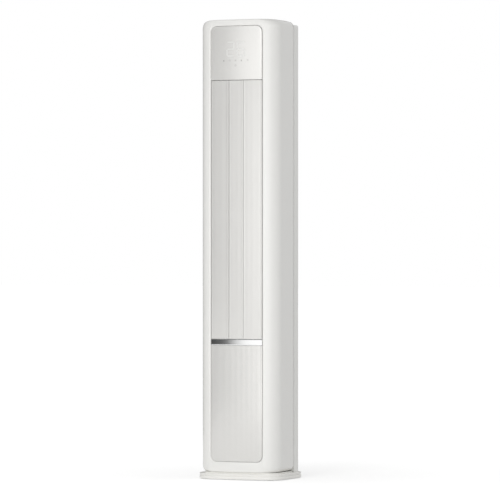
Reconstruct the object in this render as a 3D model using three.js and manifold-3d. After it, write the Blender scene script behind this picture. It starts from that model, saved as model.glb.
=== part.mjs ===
// A floor standing air conditioner: a tall column whose front cover frames a display panel, a vertical
// air outlet and a fluted lower panel. Air enters through a grille in the back, passes the filters and
// the coil, and a tall cross-flow fan blows it out past tilting deflectors and three turning vanes.
// Millimetres, +Z up, X to the right, -Y towards the room. The origin is on the floor under the middle.
import * as THREE from 'three';
import { mergeVertices } from 'three/addons/utils/BufferGeometryUtils.js';
import Module from 'manifold-3d';

// ---- Driving dimensions -------------------------------------------------------------------------

// Column, in plan and in height
const columnHeight = 1800;
const columnWidth = 336;
const columnDepth = 256;
const frontBowRadius = 925;
const frontCornerRadius = 65;
const backCornerRadius = 38;
const coverWall = 3;
const edgeRound = 6;
const coverSeamFromBack = 70;
const coverTopCornerRadius = 30;
const coverBottomCornerRadius = 24;
const coverBottomFlange = 30;
const housingDrop = 14;
const housingCornerRadius = 18;
const seamGap = 1;
const tongueDepth = 8;
const tongueWall = 2;

// Base
const baseHeight = 24;
const baseOverhang = 12;
const baseBeadHeight = 15;
const baseTopSlab = 6;
const baseGrooveDepth = 2.5;
const plinthInset = 8;
const plinthHeight = 4.7;
const footRadius = 18;
const footHeight = 6;
const footStandOut = 1.5;
const footInset = 50;

// Opening in the front cover and the bands that fill it, from the bottom up
const openingWidth = 220;
const openingBottom = 71;
const openingTopRim = 26;
const openingCornerRadius = 24;
const lipDepth = 18;
const lipWall = 2.5;
const lowerPanelHeight = 455;
const trimHeight = 23;
const displayHeight = 211;
const panelWall = 3;
const panelReveal = 0.5;
const lowerPanelSetback = 3;
const trimSetback = 2;
const displaySetback = 1.5;
const vaneSetback = 4;
const flutePitch = 5.2;
const fluteDepth = 0.6;
const fluteMargin = 5;

// Running and seating clearances
const seatGap = 0.3;
const turnGap = 0.3;

// Vertical vanes
const vaneSideGap = 2;
const vaneSplitGap = 1.5;
const middleVaneWidth = 61;
const vaneWall = 3;
const vaneEndGap = 1.3;
const vanePivotSetback = 16;
const vanePinRadius = 3;
const vaneLugThickness = 3;
const vaneLugRadius = 7;
const crankRadius = 14;
const crankPinRadius = 2;
const vaneOpenAngle = 80;
const louvreLinkWidth = 8;
const louvreLinkThickness = 3;

// Outlet frame that carries the vanes and the deflectors
const sillDrop = 4;
const frameWall = 3;
const framePlate = 4;
const frameSideGap = 1;
const frameBack = 84;
const frameHeadGap = 0.5;

// Horizontal deflectors
const deflectorCount = 7;
const deflectorChord = 24;
const deflectorThickness = 2;
const deflectorSetback = 69;
const deflectorPinRadius = 2;
const deflectorCrank = 9;
const deflectorCrankPinRadius = 1.2;
const deflectorNotchWidth = 9;
const deflectorNotchFromAxis = 4;
const deflectorLinkFromEnd = 15;
const deflectorLinkWidth = 6;
const deflectorLinkThickness = 4;

// Cross-flow fan
const rotorRadius = 50;
const rotorX = -20;
const rotorY = 12;
const rotorEndGap = 8;
const bladeCount = 16;
const bladeInnerRadius = 38;
const bladeSweep = 14;
const bladeThickness = 1.6;
const discCount = 5;
const discThickness = 3;
const hubRadius = 13;
const hubLength = 22;
const shaftRadius = 5;
const journalRadius = 4;
const journalLength = 24;
const voluteGap = 4;
const voluteStartAngle = 105;
const stabiliserGap = 4;
const stabiliserAngle = -32;
const ductWall = 2.7;
const coilAirGap = 1.5;

// Fan motor and bearing
const motorRadius = 45;
const motorLength = 56;
const motorDrop = 6;
const bracketWall = 3;
const bracketHeight = 30;
const bearingRadius = 16;
const bearingFlangeRadius = 26;
const bearingHeight = 12;

// Shelves that close the duct
const shelfThickness = 3;
const shelfInset = 5.6;
const shelfFront = 33;
const ledgeWidth = 8;
const ledgeLength = 44;

// Coil: a finned block, one long tube in two rows, and the pan under it
const coilFromBack = 34;
const coilDepth = 26;
const coilRows = 2;
const coilColumns = 10;
const coilPitch = 22;
const tubeRadius = 4;
const tubeStraightOut = 5;
const finHoleGap = 1;
const finBottomRise = 51;
const finTopDrop = 24;
const coilBracketSheet = 2;
const coilBracketFlange = 22;
const panHeight = 22;
const panWall = 2;
const panWidth = 208;
const panDepth = 31;
const drainRadius = 8;
const drainWall = 2;
const drainSpout = 12;
const drainBend = 30;
const tailDrop = 240;
const tailStagger = 30;
const tailFall = 36;
const nutHeight = 22;
const nutRadius = 12;
const nutWallGap = 5;

// Rear intake: window, grille and two filters that slide out sideways
const windowWidth = 224;
const windowRise = 14;
const grilleBorder = 8;
const grilleThickness = 4.7;
const grilleCornerRadius = 12;
const slotWidth = 100;
const slotHeight = 15;
const slotPitch = 24;
const filterThickness = 5;
const filterFromBack = 22;
const filterBar = 8;
const filterNet = 0.8;
const filterRibPitch = 98;
const railGroove = 5;
const railWall = 2;
const railFloor = 4;

// Ports low in the back wall
const pipePortX = 90;
const pipePortZ = 120;
const pipePortRadius = 34;
const glandX = -100;
const glandZ = 100;
const glandRadius = 10;
const cableRadius = 5;
const portFlange = 6;
const portFlangeThickness = 3;

// Pad high on the back that an anti-tip bracket is held against
const tipPadWidth = 80;
const tipPadHeight = 30;
const tipPadThickness = 1.5;
const tipPadDrop = 100;

// Electrical box behind the lower panel, and the display board
const boxWidth = 176;
const boxDepth = 50;
const boxHeight = 198;
const boxFront = 31;
const boxWall = 2;
const boardThickness = 1.6;
const boardMargin = 12;
const boardStandoff = 9;
const postRadius = 4;
const boardPost = 9;
const displayBoardWidth = 140;
const displayBoardHeight = 130;
const displayBoardSetback = 12;
const terminalPoles = 5;
const terminalPitch = 14;
const terminalDepth = 20;
const terminalHeight = 18;
const terminalBarrier = 1;
const wireHoleInset = 38;
const wireHoleRadius = 9;

// Small drive motors of the vanes and the deflectors
const stepperRadius = 11;
const stepperLength = 16;
const stepperBore = 7;

// ---- Places worked out from the driving dimensions ------------------------------------------------

const frontY = -columnDepth / 2;
const backY = columnDepth / 2;
const bowCentreY = frontY + frontBowRadius;
const seamY = backY - coverSeamFromBack;
const plinthTop = baseHeight + plinthHeight;
const coverBottom = plinthTop + seatGap;
const housingTop = columnHeight - housingDrop;
const openingTop = columnHeight - openingTopRim;
const trimBottom = openingBottom + lowerPanelHeight;
const outletBottom = trimBottom + trimHeight;
const outletTop = openingTop - displayHeight;
const lipBack = frontY + lipDepth;

const sillTop = outletBottom - sillDrop;
const ductBottom = sillTop - framePlate;
const headBottom = outletTop + frameHeadGap;
const ductTop = headBottom + framePlate;
const lowerShelfTop = ductBottom - seatGap;
const lowerShelfBottom = lowerShelfTop - shelfThickness;
const upperShelfBottom = ductTop + seatGap;
const upperShelfTop = upperShelfBottom + shelfThickness;
const shelfFrontY = frontY + shelfFront;
const frameBackY = frontY + frameBack;
const frameInside = openingWidth / 2 + lipWall + frameSideGap;
const frameOutside = frameInside + frameWall;
const ductBackX = frameOutside - seatGap;

const vanePivotY = frontY + vanePivotSetback;
const crankStart = THREE.MathUtils.degToRad(90 - vaneOpenAngle / 2);
const crankX = crankRadius * Math.cos(crankStart);
const crankY = crankRadius * Math.sin(crankStart);
const vaneBottom = outletBottom + vaneEndGap;
const vaneTop = outletTop - vaneEndGap;

const deflectorY = frontY + deflectorSetback;
const deflectorPitch = (headBottom - sillTop) / deflectorCount;
const deflectorEnd = frameInside - turnGap;
const deflectorLinkX = deflectorEnd - deflectorLinkFromEnd;

const rotorBottom = ductBottom + rotorEndGap;
const rotorTop = ductTop - rotorEndGap;

const coilBackY = backY - coilFromBack;
const coilFrontY = coilBackY - coilDepth;
const coilHalfWidth = frameOutside - 2 * seatGap;
const ductBackY = coilFrontY - coilAirGap;
const finBottom = ductBottom + finBottomRise;
const finTop = ductTop - finTopDrop - seatGap;

const filterBackY = backY - filterFromBack;
const filterFrontY = filterBackY - filterThickness;
const windowBottom = ductBottom + windowRise;
const windowTop = ductTop - windowRise - railFloor;
const windowMiddle = (windowBottom + windowTop) / 2;

// ---- Materials ------------------------------------------------------------------------------------

function material(color, roughness, metalness = 0) {
  return new THREE.MeshStandardMaterial({ color, roughness, metalness });
}

const glossWhite = () => material(0xf2f1ee, 0.22);
const satinWhite = () => material(0xe6e5e2, 0.45);
const greyPlastic = () => material(0xb9bcbe, 0.6);
const darkPlastic = () => material(0x3a3d40, 0.6);
const foamWhite = () => material(0xdcdcd6, 0.9);
const zincSteel = () => material(0xa9adb0, 0.4, 0.9);
const chrome = () => material(0xd8dadc, 0.08, 1);
const aluminium = () => material(0xc9ccce, 0.45, 0.9);
const copper = () => material(0xb8734a, 0.35, 1);
const brass = () => material(0xb59a57, 0.35, 1);
const rubber = () => material(0x2a2a2b, 0.85);
const boardGreen = () => material(0x2f6b4a, 0.55);

// ---- Solids: turning geometries into closed bodies and back -----------------------------------------

const wasm = await Module();
wasm.setup();

function solid(geometry) {
  const plain = new THREE.BufferGeometry();
  const source = geometry.index ? geometry.toNonIndexed() : geometry;
  plain.setAttribute('position', source.getAttribute('position'));
  const merged = mergeVertices(plain, 1e-3);
  const corners = merged.index.array;
  const triangles = [];
  for (let i = 0; i < corners.length; i += 3) {
    const [a, b, c] = corners.slice(i, i + 3);
    if (a !== b && b !== c && c !== a) triangles.push(a, b, c);
  }
  const vertices = new Float32Array(merged.getAttribute('position').array);
  return new wasm.Manifold(new wasm.Mesh({
    numProp: 3,
    vertProperties: vertices,
    triVerts: new Uint32Array(triangles),
  }));
}

function geometryOf(body) {
  const { vertProperties, triVerts } = body.getMesh();
  const geometry = new THREE.BufferGeometry();
  geometry.setAttribute('position', new THREE.BufferAttribute(new Float32Array(vertProperties), 3));
  geometry.setIndex(new THREE.BufferAttribute(new Uint32Array(triVerts), 1));
  geometry.computeVertexNormals();
  return geometry;
}

const join = (...bodies) => bodies.reduce((whole, body) => whole.add(body));
const cut = (body, ...tools) => tools.reduce((whole, tool) => whole.subtract(tool), body);
const meet = (body, ...tools) => tools.reduce((whole, tool) => whole.intersect(tool), body);

const unit = new THREE.Group();

function piece(name, body, finish) {
  const mesh = new THREE.Mesh(geometryOf(body), finish);
  mesh.name = name;
  unit.add(mesh);
}

// ---- Basic forms ------------------------------------------------------------------------------------

function block(x0, x1, y0, y1, z0, z1) {
  const geometry = new THREE.BoxGeometry(x1 - x0, y1 - y0, z1 - z0);
  return solid(geometry.translate((x0 + x1) / 2, (y0 + y1) / 2, (z0 + z1) / 2));
}

// A plan shape raised from z0 to z1, with both of its rims rounded by `round`.
function prism(shape, z0, z1, round = 0, segments = 4, roundSteps = 2) {
  const geometry = new THREE.ExtrudeGeometry(shape, {
    depth: z1 - z0 - 2 * round,
    bevelEnabled: round > 0,
    bevelThickness: round,
    bevelSize: round,
    bevelOffset: -round,
    bevelSegments: roundSteps,
    curveSegments: segments,
    steps: 1,
  });
  return solid(geometry.translate(0, 0, z0 + round));
}

// A shape drawn in elevation (X and Z) that reaches from y0 back to y1.
function facing(shape, y0, y1, round = 0, segments = 4) {
  const geometry = new THREE.ExtrudeGeometry(shape, {
    depth: y1 - y0 - 2 * round,
    bevelEnabled: round > 0,
    bevelThickness: round,
    bevelSize: round,
    bevelOffset: -round,
    bevelSegments: 2,
    curveSegments: segments,
    steps: 1,
  });
  return solid(geometry.rotateX(Math.PI / 2).translate(0, y1 - round, 0));
}

// Round bars along Z, along Y and along X.
function upright(x, y, radius, z0, z1, sides = 20) {
  const geometry = new THREE.CylinderGeometry(radius, radius, z1 - z0, sides);
  return solid(geometry.rotateX(Math.PI / 2).translate(x, y, (z0 + z1) / 2));
}

function endOn(x, z, radius, y0, y1, sides = 20) {
  const geometry = new THREE.CylinderGeometry(radius, radius, y1 - y0, sides);
  return solid(geometry.translate(x, (y0 + y1) / 2, z));
}

function crosswise(y, z, radius, x0, x1, sides = 12) {
  const geometry = new THREE.CylinderGeometry(radius, radius, x1 - x0, sides);
  return solid(geometry.rotateZ(Math.PI / 2).translate((x0 + x1) / 2, y, z));
}

function polygon(points) {
  return new THREE.Shape(points.map(([x, y]) => new THREE.Vector2(x, y)));
}

// A rectangle with its own radius at the top and at the bottom corners.
function roundedRectangle(x0, x1, y0, y1, bottomRadius, topRadius = bottomRadius) {
  const shape = new THREE.Shape();
  shape.absarc(x0 + bottomRadius, y0 + bottomRadius, bottomRadius, Math.PI, 1.5 * Math.PI, false);
  shape.absarc(x1 - bottomRadius, y0 + bottomRadius, bottomRadius, 1.5 * Math.PI, 2 * Math.PI, false);
  shape.absarc(x1 - topRadius, y1 - topRadius, topRadius, 0, 0.5 * Math.PI, false);
  shape.absarc(x0 + topRadius, y1 - topRadius, topRadius, 0.5 * Math.PI, Math.PI, false);
  return shape;
}

// A path that is straight between its stations, so that a long run takes no more rings than it needs.
class StationPath extends THREE.Curve {
  constructor(stations) {
    super();
    this.stations = stations;
  }

  getPoint(t, target = new THREE.Vector3()) {
    const last = this.stations.length - 1;
    const place = Math.min(Math.max(t, 0), 1) * last;
    const index = Math.min(Math.floor(place), last - 1);
    return target.lerpVectors(this.stations[index], this.stations[index + 1], place - index);
  }

  getPointAt(u, target) {
    return this.getPoint(u, target);
  }

  getTangentAt(u, target) {
    return this.getTangent(u, target);
  }
}

function tube(stations, shape) {
  const path = new StationPath(stations);
  return solid(new THREE.ExtrudeGeometry(shape, {
    steps: stations.length - 1,
    extrudePath: path,
    curveSegments: 3,
  }));
}

// ---- The column's plan outline and what follows its bowed front --------------------------------------

const bowTurn = Math.asin((columnWidth / 2 - frontCornerRadius) / (frontBowRadius - frontCornerRadius));
const cornerCentreX = columnWidth / 2 - frontCornerRadius;
const cornerCentreY = bowCentreY - (frontBowRadius - frontCornerRadius) * Math.cos(bowTurn);

// The whole outline, moved inwards by `inset` (or outwards where it is negative).
function columnOutline(inset) {
  const backX = columnWidth / 2 - backCornerRadius;
  const backCentreY = backY - backCornerRadius;
  const corner = frontCornerRadius - inset;
  const back = backCornerRadius - inset;
  const left = -Math.PI / 2 - bowTurn;
  const right = -Math.PI / 2 + bowTurn;
  const shape = new THREE.Shape();
  shape.absarc(0, bowCentreY, frontBowRadius - inset, left, right, false);
  shape.absarc(cornerCentreX, cornerCentreY, corner, right, 0, false);
  shape.absarc(backX, backCentreY, back, 0, Math.PI / 2, false);
  shape.absarc(-backX, backCentreY, back, Math.PI / 2, Math.PI, false);
  shape.absarc(-cornerCentreX, cornerCentreY, corner, Math.PI, 1.5 * Math.PI - bowTurn, false);
  return shape;
}

const bowedY = (x, setback) => bowCentreY - Math.sqrt((frontBowRadius - setback) ** 2 - x ** 2);

// A band in plan that follows the bow from x0 to x1: smooth, or fluted between its plain margins.
function bowedBand(x0, x1, setback, wall, fluted = false) {
  const front = [];
  if (fluted) {
    const flutes = Math.max(1, Math.round((x1 - x0 - 2 * fluteMargin) / flutePitch));
    const pitch = (x1 - x0 - 2 * fluteMargin) / flutes;
    front.push([x0, bowedY(x0, setback)]);
    for (let i = 0; i < flutes; i += 1) {
      const start = x0 + fluteMargin + i * pitch;
      const middle = start + pitch / 2;
      front.push([start, bowedY(start, setback)]);
      front.push([middle, bowedY(middle, setback + fluteDepth)]);
    }
    front.push([x1 - fluteMargin, bowedY(x1 - fluteMargin, setback)], [x1, bowedY(x1, setback)]);
  } else {
    const steps = 12;
    for (let i = 0; i <= steps; i += 1) {
      const x = x0 + ((x1 - x0) * i) / steps;
      front.push([x, bowedY(x, setback)]);
    }
  }
  const back = [];
  const backSteps = 6;
  for (let i = 0; i <= backSteps; i += 1) {
    const x = x1 - ((x1 - x0) * i) / backSteps;
    back.push([x, bowedY(x, setback + wall)]);
  }
  return polygon([...front, ...back]);
}

const openingShape = (inset) => roundedRectangle(
  -openingWidth / 2 + inset,
  openingWidth / 2 - inset,
  openingBottom + inset,
  openingTop - inset,
  openingCornerRadius - inset,
);

// A panel that fills the opening from z0 to z1, a reveal away from the opening's lip.
function openingPanel(z0, z1, setback, wall, fluted = false) {
  const half = openingWidth / 2 - panelReveal;
  const band = prism(bowedBand(-half, half, setback, wall, fluted), z0, z1);
  return meet(band, facing(openingShape(panelReveal), frontY - edgeRound, lipBack));
}

// ---- Base -------------------------------------------------------------------------------------------

const footX = columnWidth / 2 + baseOverhang - footInset;
const footY = columnDepth / 2 + baseOverhang - footInset;
const footPlaces = [
  ['front_left', -footX, -footY],
  ['front_right', footX, -footY],
  ['back_left', -footX, footY],
  ['back_right', footX, footY],
];

function basePlate() {
  const beadRound = 3;
  const slabRound = 2;
  const slabBottom = baseHeight - baseTopSlab;
  const bead = prism(columnOutline(-baseOverhang), footStandOut, baseBeadHeight, beadRound, 3, 1);
  const neck = prism(columnOutline(baseGrooveDepth - baseOverhang), baseBeadHeight - 1, slabBottom + 1, 0, 3);
  const slab = prism(columnOutline(-baseOverhang), slabBottom, baseHeight, slabRound, 3, 1);
  const plinth = prism(columnOutline(plinthInset), baseHeight - 1, plinthTop);
  const pocketTop = footHeight + seatGap;
  const pockets = footPlaces.map(([, x, y]) => upright(x, y, footRadius + seatGap, 0, pocketTop, 20));
  return cut(join(bead, neck, slab, plinth), ...pockets);
}

// ---- Front cover and rear housing ---------------------------------------------------------------------

// The front cover's elevation, moved inwards by `inset`; its bottom is closed by a flange.
const coverElevation = (inset) => roundedRectangle(
  -columnWidth / 2 + inset,
  columnWidth / 2 - inset,
  coverBottom + inset,
  columnHeight - inset,
  coverBottomCornerRadius - inset,
  coverTopCornerRadius - inset,
);

function frontCover() {
  const reach = frontY - edgeRound;
  const outer = meet(
    prism(columnOutline(0), 0, columnHeight, edgeRound),
    facing(coverElevation(0), reach, seamY),
  );
  const hollowPlan = prism(columnOutline(coverWall), 0, columnHeight - coverWall, edgeRound - coverWall);
  const crown = meet(hollowPlan, facing(coverElevation(coverWall), reach, seamY - coverWall));
  const lower = block(-columnWidth, columnWidth, reach, seamY + 1, 0, housingTop - coverWall);
  const hollow = meet(hollowPlan, facing(coverElevation(coverWall), reach, seamY + 1), lower);
  const lip = meet(facing(openingShape(-lipWall), reach, lipBack), outer);
  const floorHole = prism(columnOutline(coverBottomFlange), 0, coverBottom + 2 * coverWall);
  const opening = facing(openingShape(0), reach - 1, lipBack + 1);
  return cut(join(cut(outer, crown, hollow), lip), opening, floorHole);
}

const housingElevation = (inset) => roundedRectangle(
  -columnWidth / 2 + inset,
  columnWidth / 2 - inset,
  0,
  housingTop - inset,
  1,
  housingCornerRadius - inset,
);

// A channel that a filter's lower or upper edge runs in, on a web from the back wall.
function filterRail(z, up) {
  const left = -windowWidth / 2 - filterBar;
  const right = windowWidth / 2 + railWall;
  const rise = up ? [z - railFloor, z + railGroove] : [z - railGroove, z + railFloor];
  const floor = up ? [z - railFloor, z] : [z, z + railFloor];
  const groove = up ? [z, z + railGroove + 1] : [z - railGroove - 1, z];
  const [front, back] = [filterFrontY - seatGap, filterBackY + seatGap];
  const lips = block(left, right, front - railWall, back + railWall, ...rise);
  const web = block(left, right, filterFrontY, backY - coverWall / 2, ...floor);
  return cut(join(lips, web), block(left - 1, right + 1, front, back, ...groove));
}

const filterEdges = {
  lower: [windowBottom, windowMiddle - railFloor / 2],
  upper: [windowMiddle + railFloor / 2, windowTop],
};

function filterRails() {
  const pair = ([bottom, top]) => join(filterRail(bottom, true), filterRail(top, false));
  return join(...Object.values(filterEdges).map(pair));
}

// Small ledges on the side walls that a shelf lies on.
function shelfLedges(top) {
  const backEnd = backY - backCornerRadius;
  const shelfLedge = (side) => {
    const inWall = side * (columnWidth / 2 - coverWall / 2);
    const free = side * (columnWidth / 2 - coverWall - ledgeWidth);
    const [low, high] = [Math.min(inWall, free), Math.max(inWall, free)];
    return block(low, high, backEnd - ledgeLength / 2, backEnd, top - shelfThickness, top);
  };
  return join(shelfLedge(-1), shelfLedge(1));
}

// A raised flat pad high on the back, which an anti-tip bracket is held against.
function tipPad() {
  const middle = columnHeight - tipPadDrop;
  const half = tipPadWidth / 2;
  const [bottom, top] = [middle - tipPadHeight / 2, middle + tipPadHeight / 2];
  return block(-half, half, backY - coverWall / 2, backY + tipPadThickness, bottom, top);
}

function rearHousing() {
  const start = seamY + seamGap;
  const reach = backY + 1;
  const outer = meet(
    prism(columnOutline(0), 0, housingTop, edgeRound),
    facing(housingElevation(0), start, reach),
    block(-columnWidth, columnWidth, start, reach, baseHeight + seatGap, columnHeight),
  );
  const hollow = meet(
    prism(columnOutline(coverWall), 0, housingTop - coverWall, edgeRound - coverWall),
    facing(housingElevation(coverWall), start - 1, reach),
  );
  const tongueOuter = coverWall + seatGap;
  const tongue = meet(
    cut(
      prism(columnOutline(tongueOuter), plinthTop + ledgeLength, housingTop - ledgeLength),
      prism(columnOutline(tongueOuter + tongueWall), 0, columnHeight),
    ),
    block(-columnWidth, columnWidth, seamY - tongueDepth, start + tongueDepth, 0, columnHeight),
  );
  const tongueSeat = meet(
    cut(
      prism(columnOutline(coverWall / 2), plinthTop + ledgeLength, housingTop - ledgeLength),
      prism(columnOutline(tongueOuter + tongueWall), 0, columnHeight),
    ),
    block(-columnWidth, columnWidth, start, start + tongueDepth, 0, columnHeight),
  );
  const inWall = backY - 2 * coverWall;
  const window = block(-windowWidth / 2, windowWidth / 2, inWall, reach, windowBottom, windowTop);
  const slots = Object.values(filterEdges).map(([bottom, top]) => block(
    -columnWidth, -windowWidth / 2 - filterBar, filterFrontY - seatGap, filterBackY + seatGap, bottom, top,
  ));
  const pipePort = endOn(pipePortX, pipePortZ, pipePortRadius, inWall, reach, 24);
  const glandPort = endOn(glandX, glandZ, glandRadius, inWall, reach);
  const shell = join(cut(outer, hollow, window, pipePort, glandPort), tipPad());
  const inner = join(filterRails(), tongue, tongueSeat, shelfLedges(lowerShelfBottom - seatGap));
  return cut(join(shell, inner), ...slots);
}

function intakeGrille() {
  const half = windowWidth / 2 + grilleBorder;
  const bottom = windowBottom - grilleBorder;
  const top = windowTop + grilleBorder;
  const [front, back] = [backY + seatGap, backY + seatGap + grilleThickness];
  const plate = facing(roundedRectangle(-half, half, bottom, top, grilleCornerRadius), front, back);
  const rows = Math.floor((top - bottom - 2 * grilleCornerRadius) / slotPitch);
  const firstZ = (bottom + top - (rows - 1) * slotPitch - slotHeight) / 2;
  const slots = [];
  for (let row = 0; row < rows; row += 1) {
    for (const x of [-windowWidth / 4, windowWidth / 4]) {
      const z = firstZ + row * slotPitch;
      slots.push(block(x - slotWidth / 2, x + slotWidth / 2, front - 1, back + 1, z, z + slotHeight));
    }
  }
  return cut(plate, join(...slots));
}

// A filter: a frame with ribs and a net, and a solid end that comes flush with the housing's side.
function airFilter([slotBottom, slotTop]) {
  const [bottom, top] = [slotBottom + seatGap, slotTop - seatGap];
  const left = -columnWidth / 2;
  const right = windowWidth / 2;
  const columns = 3;
  const rows = Math.max(1, Math.round((top - bottom) / filterRibPitch));
  const netLeft = -windowWidth / 2;
  const cellWidth = (right - filterBar - netLeft) / columns;
  const cellHeight = (top - bottom - 2 * filterBar) / rows;
  const rib = filterBar / 4;
  const middle = (filterFrontY + filterBackY) / 2;
  const cells = [];
  for (let column = 0; column < columns; column += 1) {
    for (let row = 0; row < rows; row += 1) {
      const x = netLeft + column * cellWidth;
      const z = bottom + filterBar + row * cellHeight;
      const edges = [x + rib, x + cellWidth - rib];
      const heights = [z + rib, z + cellHeight - rib];
      cells.push(block(...edges, filterFrontY - 1, middle - filterNet / 2, ...heights));
      cells.push(block(...edges, middle + filterNet / 2, filterBackY + 1, ...heights));
    }
  }
  const frame = cut(block(left, right, filterFrontY, filterBackY, bottom, top), join(...cells));
  return meet(frame, prism(columnOutline(0), 0, columnHeight));
}

// ---- The bands in the opening ---------------------------------------------------------------------------

function displayPanel() {
  const panel = openingPanel(outletTop + panelReveal, openingTop, displaySetback, panelWall);
  const boardY = frontY + displayBoardSetback;
  const z = (outletTop + openingTop) / 2;
  const posts = [-1, 1].flatMap((side) => [-1, 1].map((level) => {
    const x = side * (displayBoardWidth / 2 - boardPost);
    const height = z + level * (displayBoardHeight / 2 - boardPost);
    return endOn(x, height, postRadius, bowedY(x, displaySetback + panelWall / 2), boardY - seatGap, 12);
  }));
  return join(panel, ...posts);
}

function displayBoard() {
  const y = frontY + displayBoardSetback;
  const z = (outletTop + openingTop) / 2;
  const [halfWidth, halfHeight] = [displayBoardWidth / 2, displayBoardHeight / 2];
  return block(-halfWidth, halfWidth, y, y + boardThickness, z - halfHeight, z + halfHeight);
}

const trimStrip = () => openingPanel(trimBottom, outletBottom - panelReveal, trimSetback, panelWall);
const lowerPanel = () => openingPanel(
  openingBottom, trimBottom - panelReveal, lowerPanelSetback, panelWall, true,
);

// ---- Shelves ------------------------------------------------------------------------------------------

function shelfPlate(bottom, ...holes) {
  const plate = meet(
    prism(columnOutline(shelfInset), bottom, bottom + shelfThickness, 0, 3),
    block(-columnWidth, columnWidth, shelfFrontY, backY, 0, columnHeight),
  );
  return cut(plate, ...holes);
}

// ---- Outlet frame, vanes and their link -------------------------------------------------------------------

const deflectorHeights = Array.from(
  { length: deflectorCount },
  (_, i) => sillTop + (i + 0.5) * deflectorPitch,
);
const leadDeflector = Math.floor(deflectorCount / 2);

const vaneOuter = openingWidth / 2 - vaneSideGap;
const vaneEdge = middleVaneWidth / 2;
const vanes = {
  vane_left: [-vaneOuter, -vaneEdge - vaneSplitGap],
  vane_middle: [-vaneEdge, vaneEdge],
  vane_right: [vaneEdge + vaneSplitGap, vaneOuter],
};
const vaneCentre = ([x0, x1]) => (x0 + x1) / 2;
const vaneCentres = Object.values(vanes).map(vaneCentre);

function outletFrame() {
  const lipHalf = openingWidth / 2 - frameSideGap;
  const front = bowedY(openingWidth / 2, trimSetback + panelWall) + seatGap;
  const behindLip = lipBack + seatGap;
  const plan = polygon([
    [-lipHalf, front], [lipHalf, front], [lipHalf, behindLip], [frameOutside, behindLip],
    [frameOutside, frameBackY], [-frameOutside, frameBackY],
    [-frameOutside, behindLip], [-lipHalf, behindLip],
  ]);
  const sill = prism(plan, ductBottom, sillTop);
  const head = prism(plan, headBottom, ductTop);
  const left = block(-frameOutside, -frameInside, behindLip, frameBackY, ductBottom, ductTop);
  const right = block(frameInside, frameOutside, behindLip, frameBackY, ductBottom, ductTop);
  const pivots = vaneCentres.map((x) => upright(x, vanePivotY, vanePinRadius + turnGap, 0, columnHeight, 12));
  const bores = deflectorHeights.map((z) => crosswise(
    deflectorY, z, deflectorPinRadius + turnGap, -frameOutside - 1, frameOutside + 1, 8,
  ));
  return cut(join(sill, head, left, right), ...pivots, ...bores);
}

// A vertical vane: a fluted blade on two end lugs, with its pivot pins and the crank pin of the link.
function vane([x0, x1]) {
  const x = vaneCentre([x0, x1]);
  const blade = prism(bowedBand(x0, x1, vaneSetback, vaneWall, true), vaneBottom, vaneTop);
  const bladeBackY = bowedY(x, vaneSetback + vaneWall / 2);
  const lug = (bottom) => join(
    upright(x, vanePivotY, vaneLugRadius, bottom, bottom + vaneLugThickness, 12),
    block(x - vaneLugRadius, x + vaneLugRadius, bladeBackY, vanePivotY, bottom, bottom + vaneLugThickness),
  );
  const armEnd = [x + crankX, vanePivotY + crankY];
  const armHalf = louvreLinkWidth / 2;
  const arm = join(
    upright(...armEnd, armHalf, vaneBottom, vaneBottom + vaneLugThickness, 12),
    prism(polygon([
      [x - armHalf, vanePivotY], [x + armHalf, vanePivotY], [armEnd[0] + armHalf, armEnd[1]],
      [armEnd[0] - armHalf, armEnd[1]],
    ]), vaneBottom, vaneBottom + vaneLugThickness),
  );
  const lowerPin = upright(x, vanePivotY, vanePinRadius, ductBottom + seatGap, vaneBottom + 1, 12);
  const crankPin = upright(...armEnd, crankPinRadius, sillTop + seatGap, vaneBottom + 1, 8);
  const topReach = x === 0 ? ductTop + stepperBore - seatGap : ductTop - seatGap;
  const upperPin = upright(x, vanePivotY, vanePinRadius, vaneTop - 1, topReach, 12);
  return join(blade, lug(vaneBottom), lug(vaneTop - vaneLugThickness), arm, lowerPin, crankPin, upperPin);
}

const louvreLinkBottom = sillTop + (outletBottom + vaneEndGap - sillTop - louvreLinkThickness) / 2;

function louvreLink() {
  const y = vanePivotY + crankY;
  const [first, last] = [vaneCentres[0] + crankX, vaneCentres.at(-1) + crankX];
  const end = louvreLinkWidth / 2;
  const top = louvreLinkBottom + louvreLinkThickness;
  const bar = block(first - end, last + end, y - end, y + end, louvreLinkBottom, top);
  const holes = vaneCentres.map((x) => upright(x + crankX, y, crankPinRadius + turnGap, 0, columnHeight, 8));
  return cut(bar, ...holes);
}

const louvreMotor = () => cut(
  upright(0, vanePivotY, stepperRadius, ductTop + seatGap, ductTop + seatGap + stepperLength, 24),
  upright(0, vanePivotY, vanePinRadius + turnGap, 0, ductTop + stepperBore, 12),
);

// ---- Deflectors and their link ---------------------------------------------------------------------------

const deflectorCrankY = deflectorY + deflectorCrank;

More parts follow.
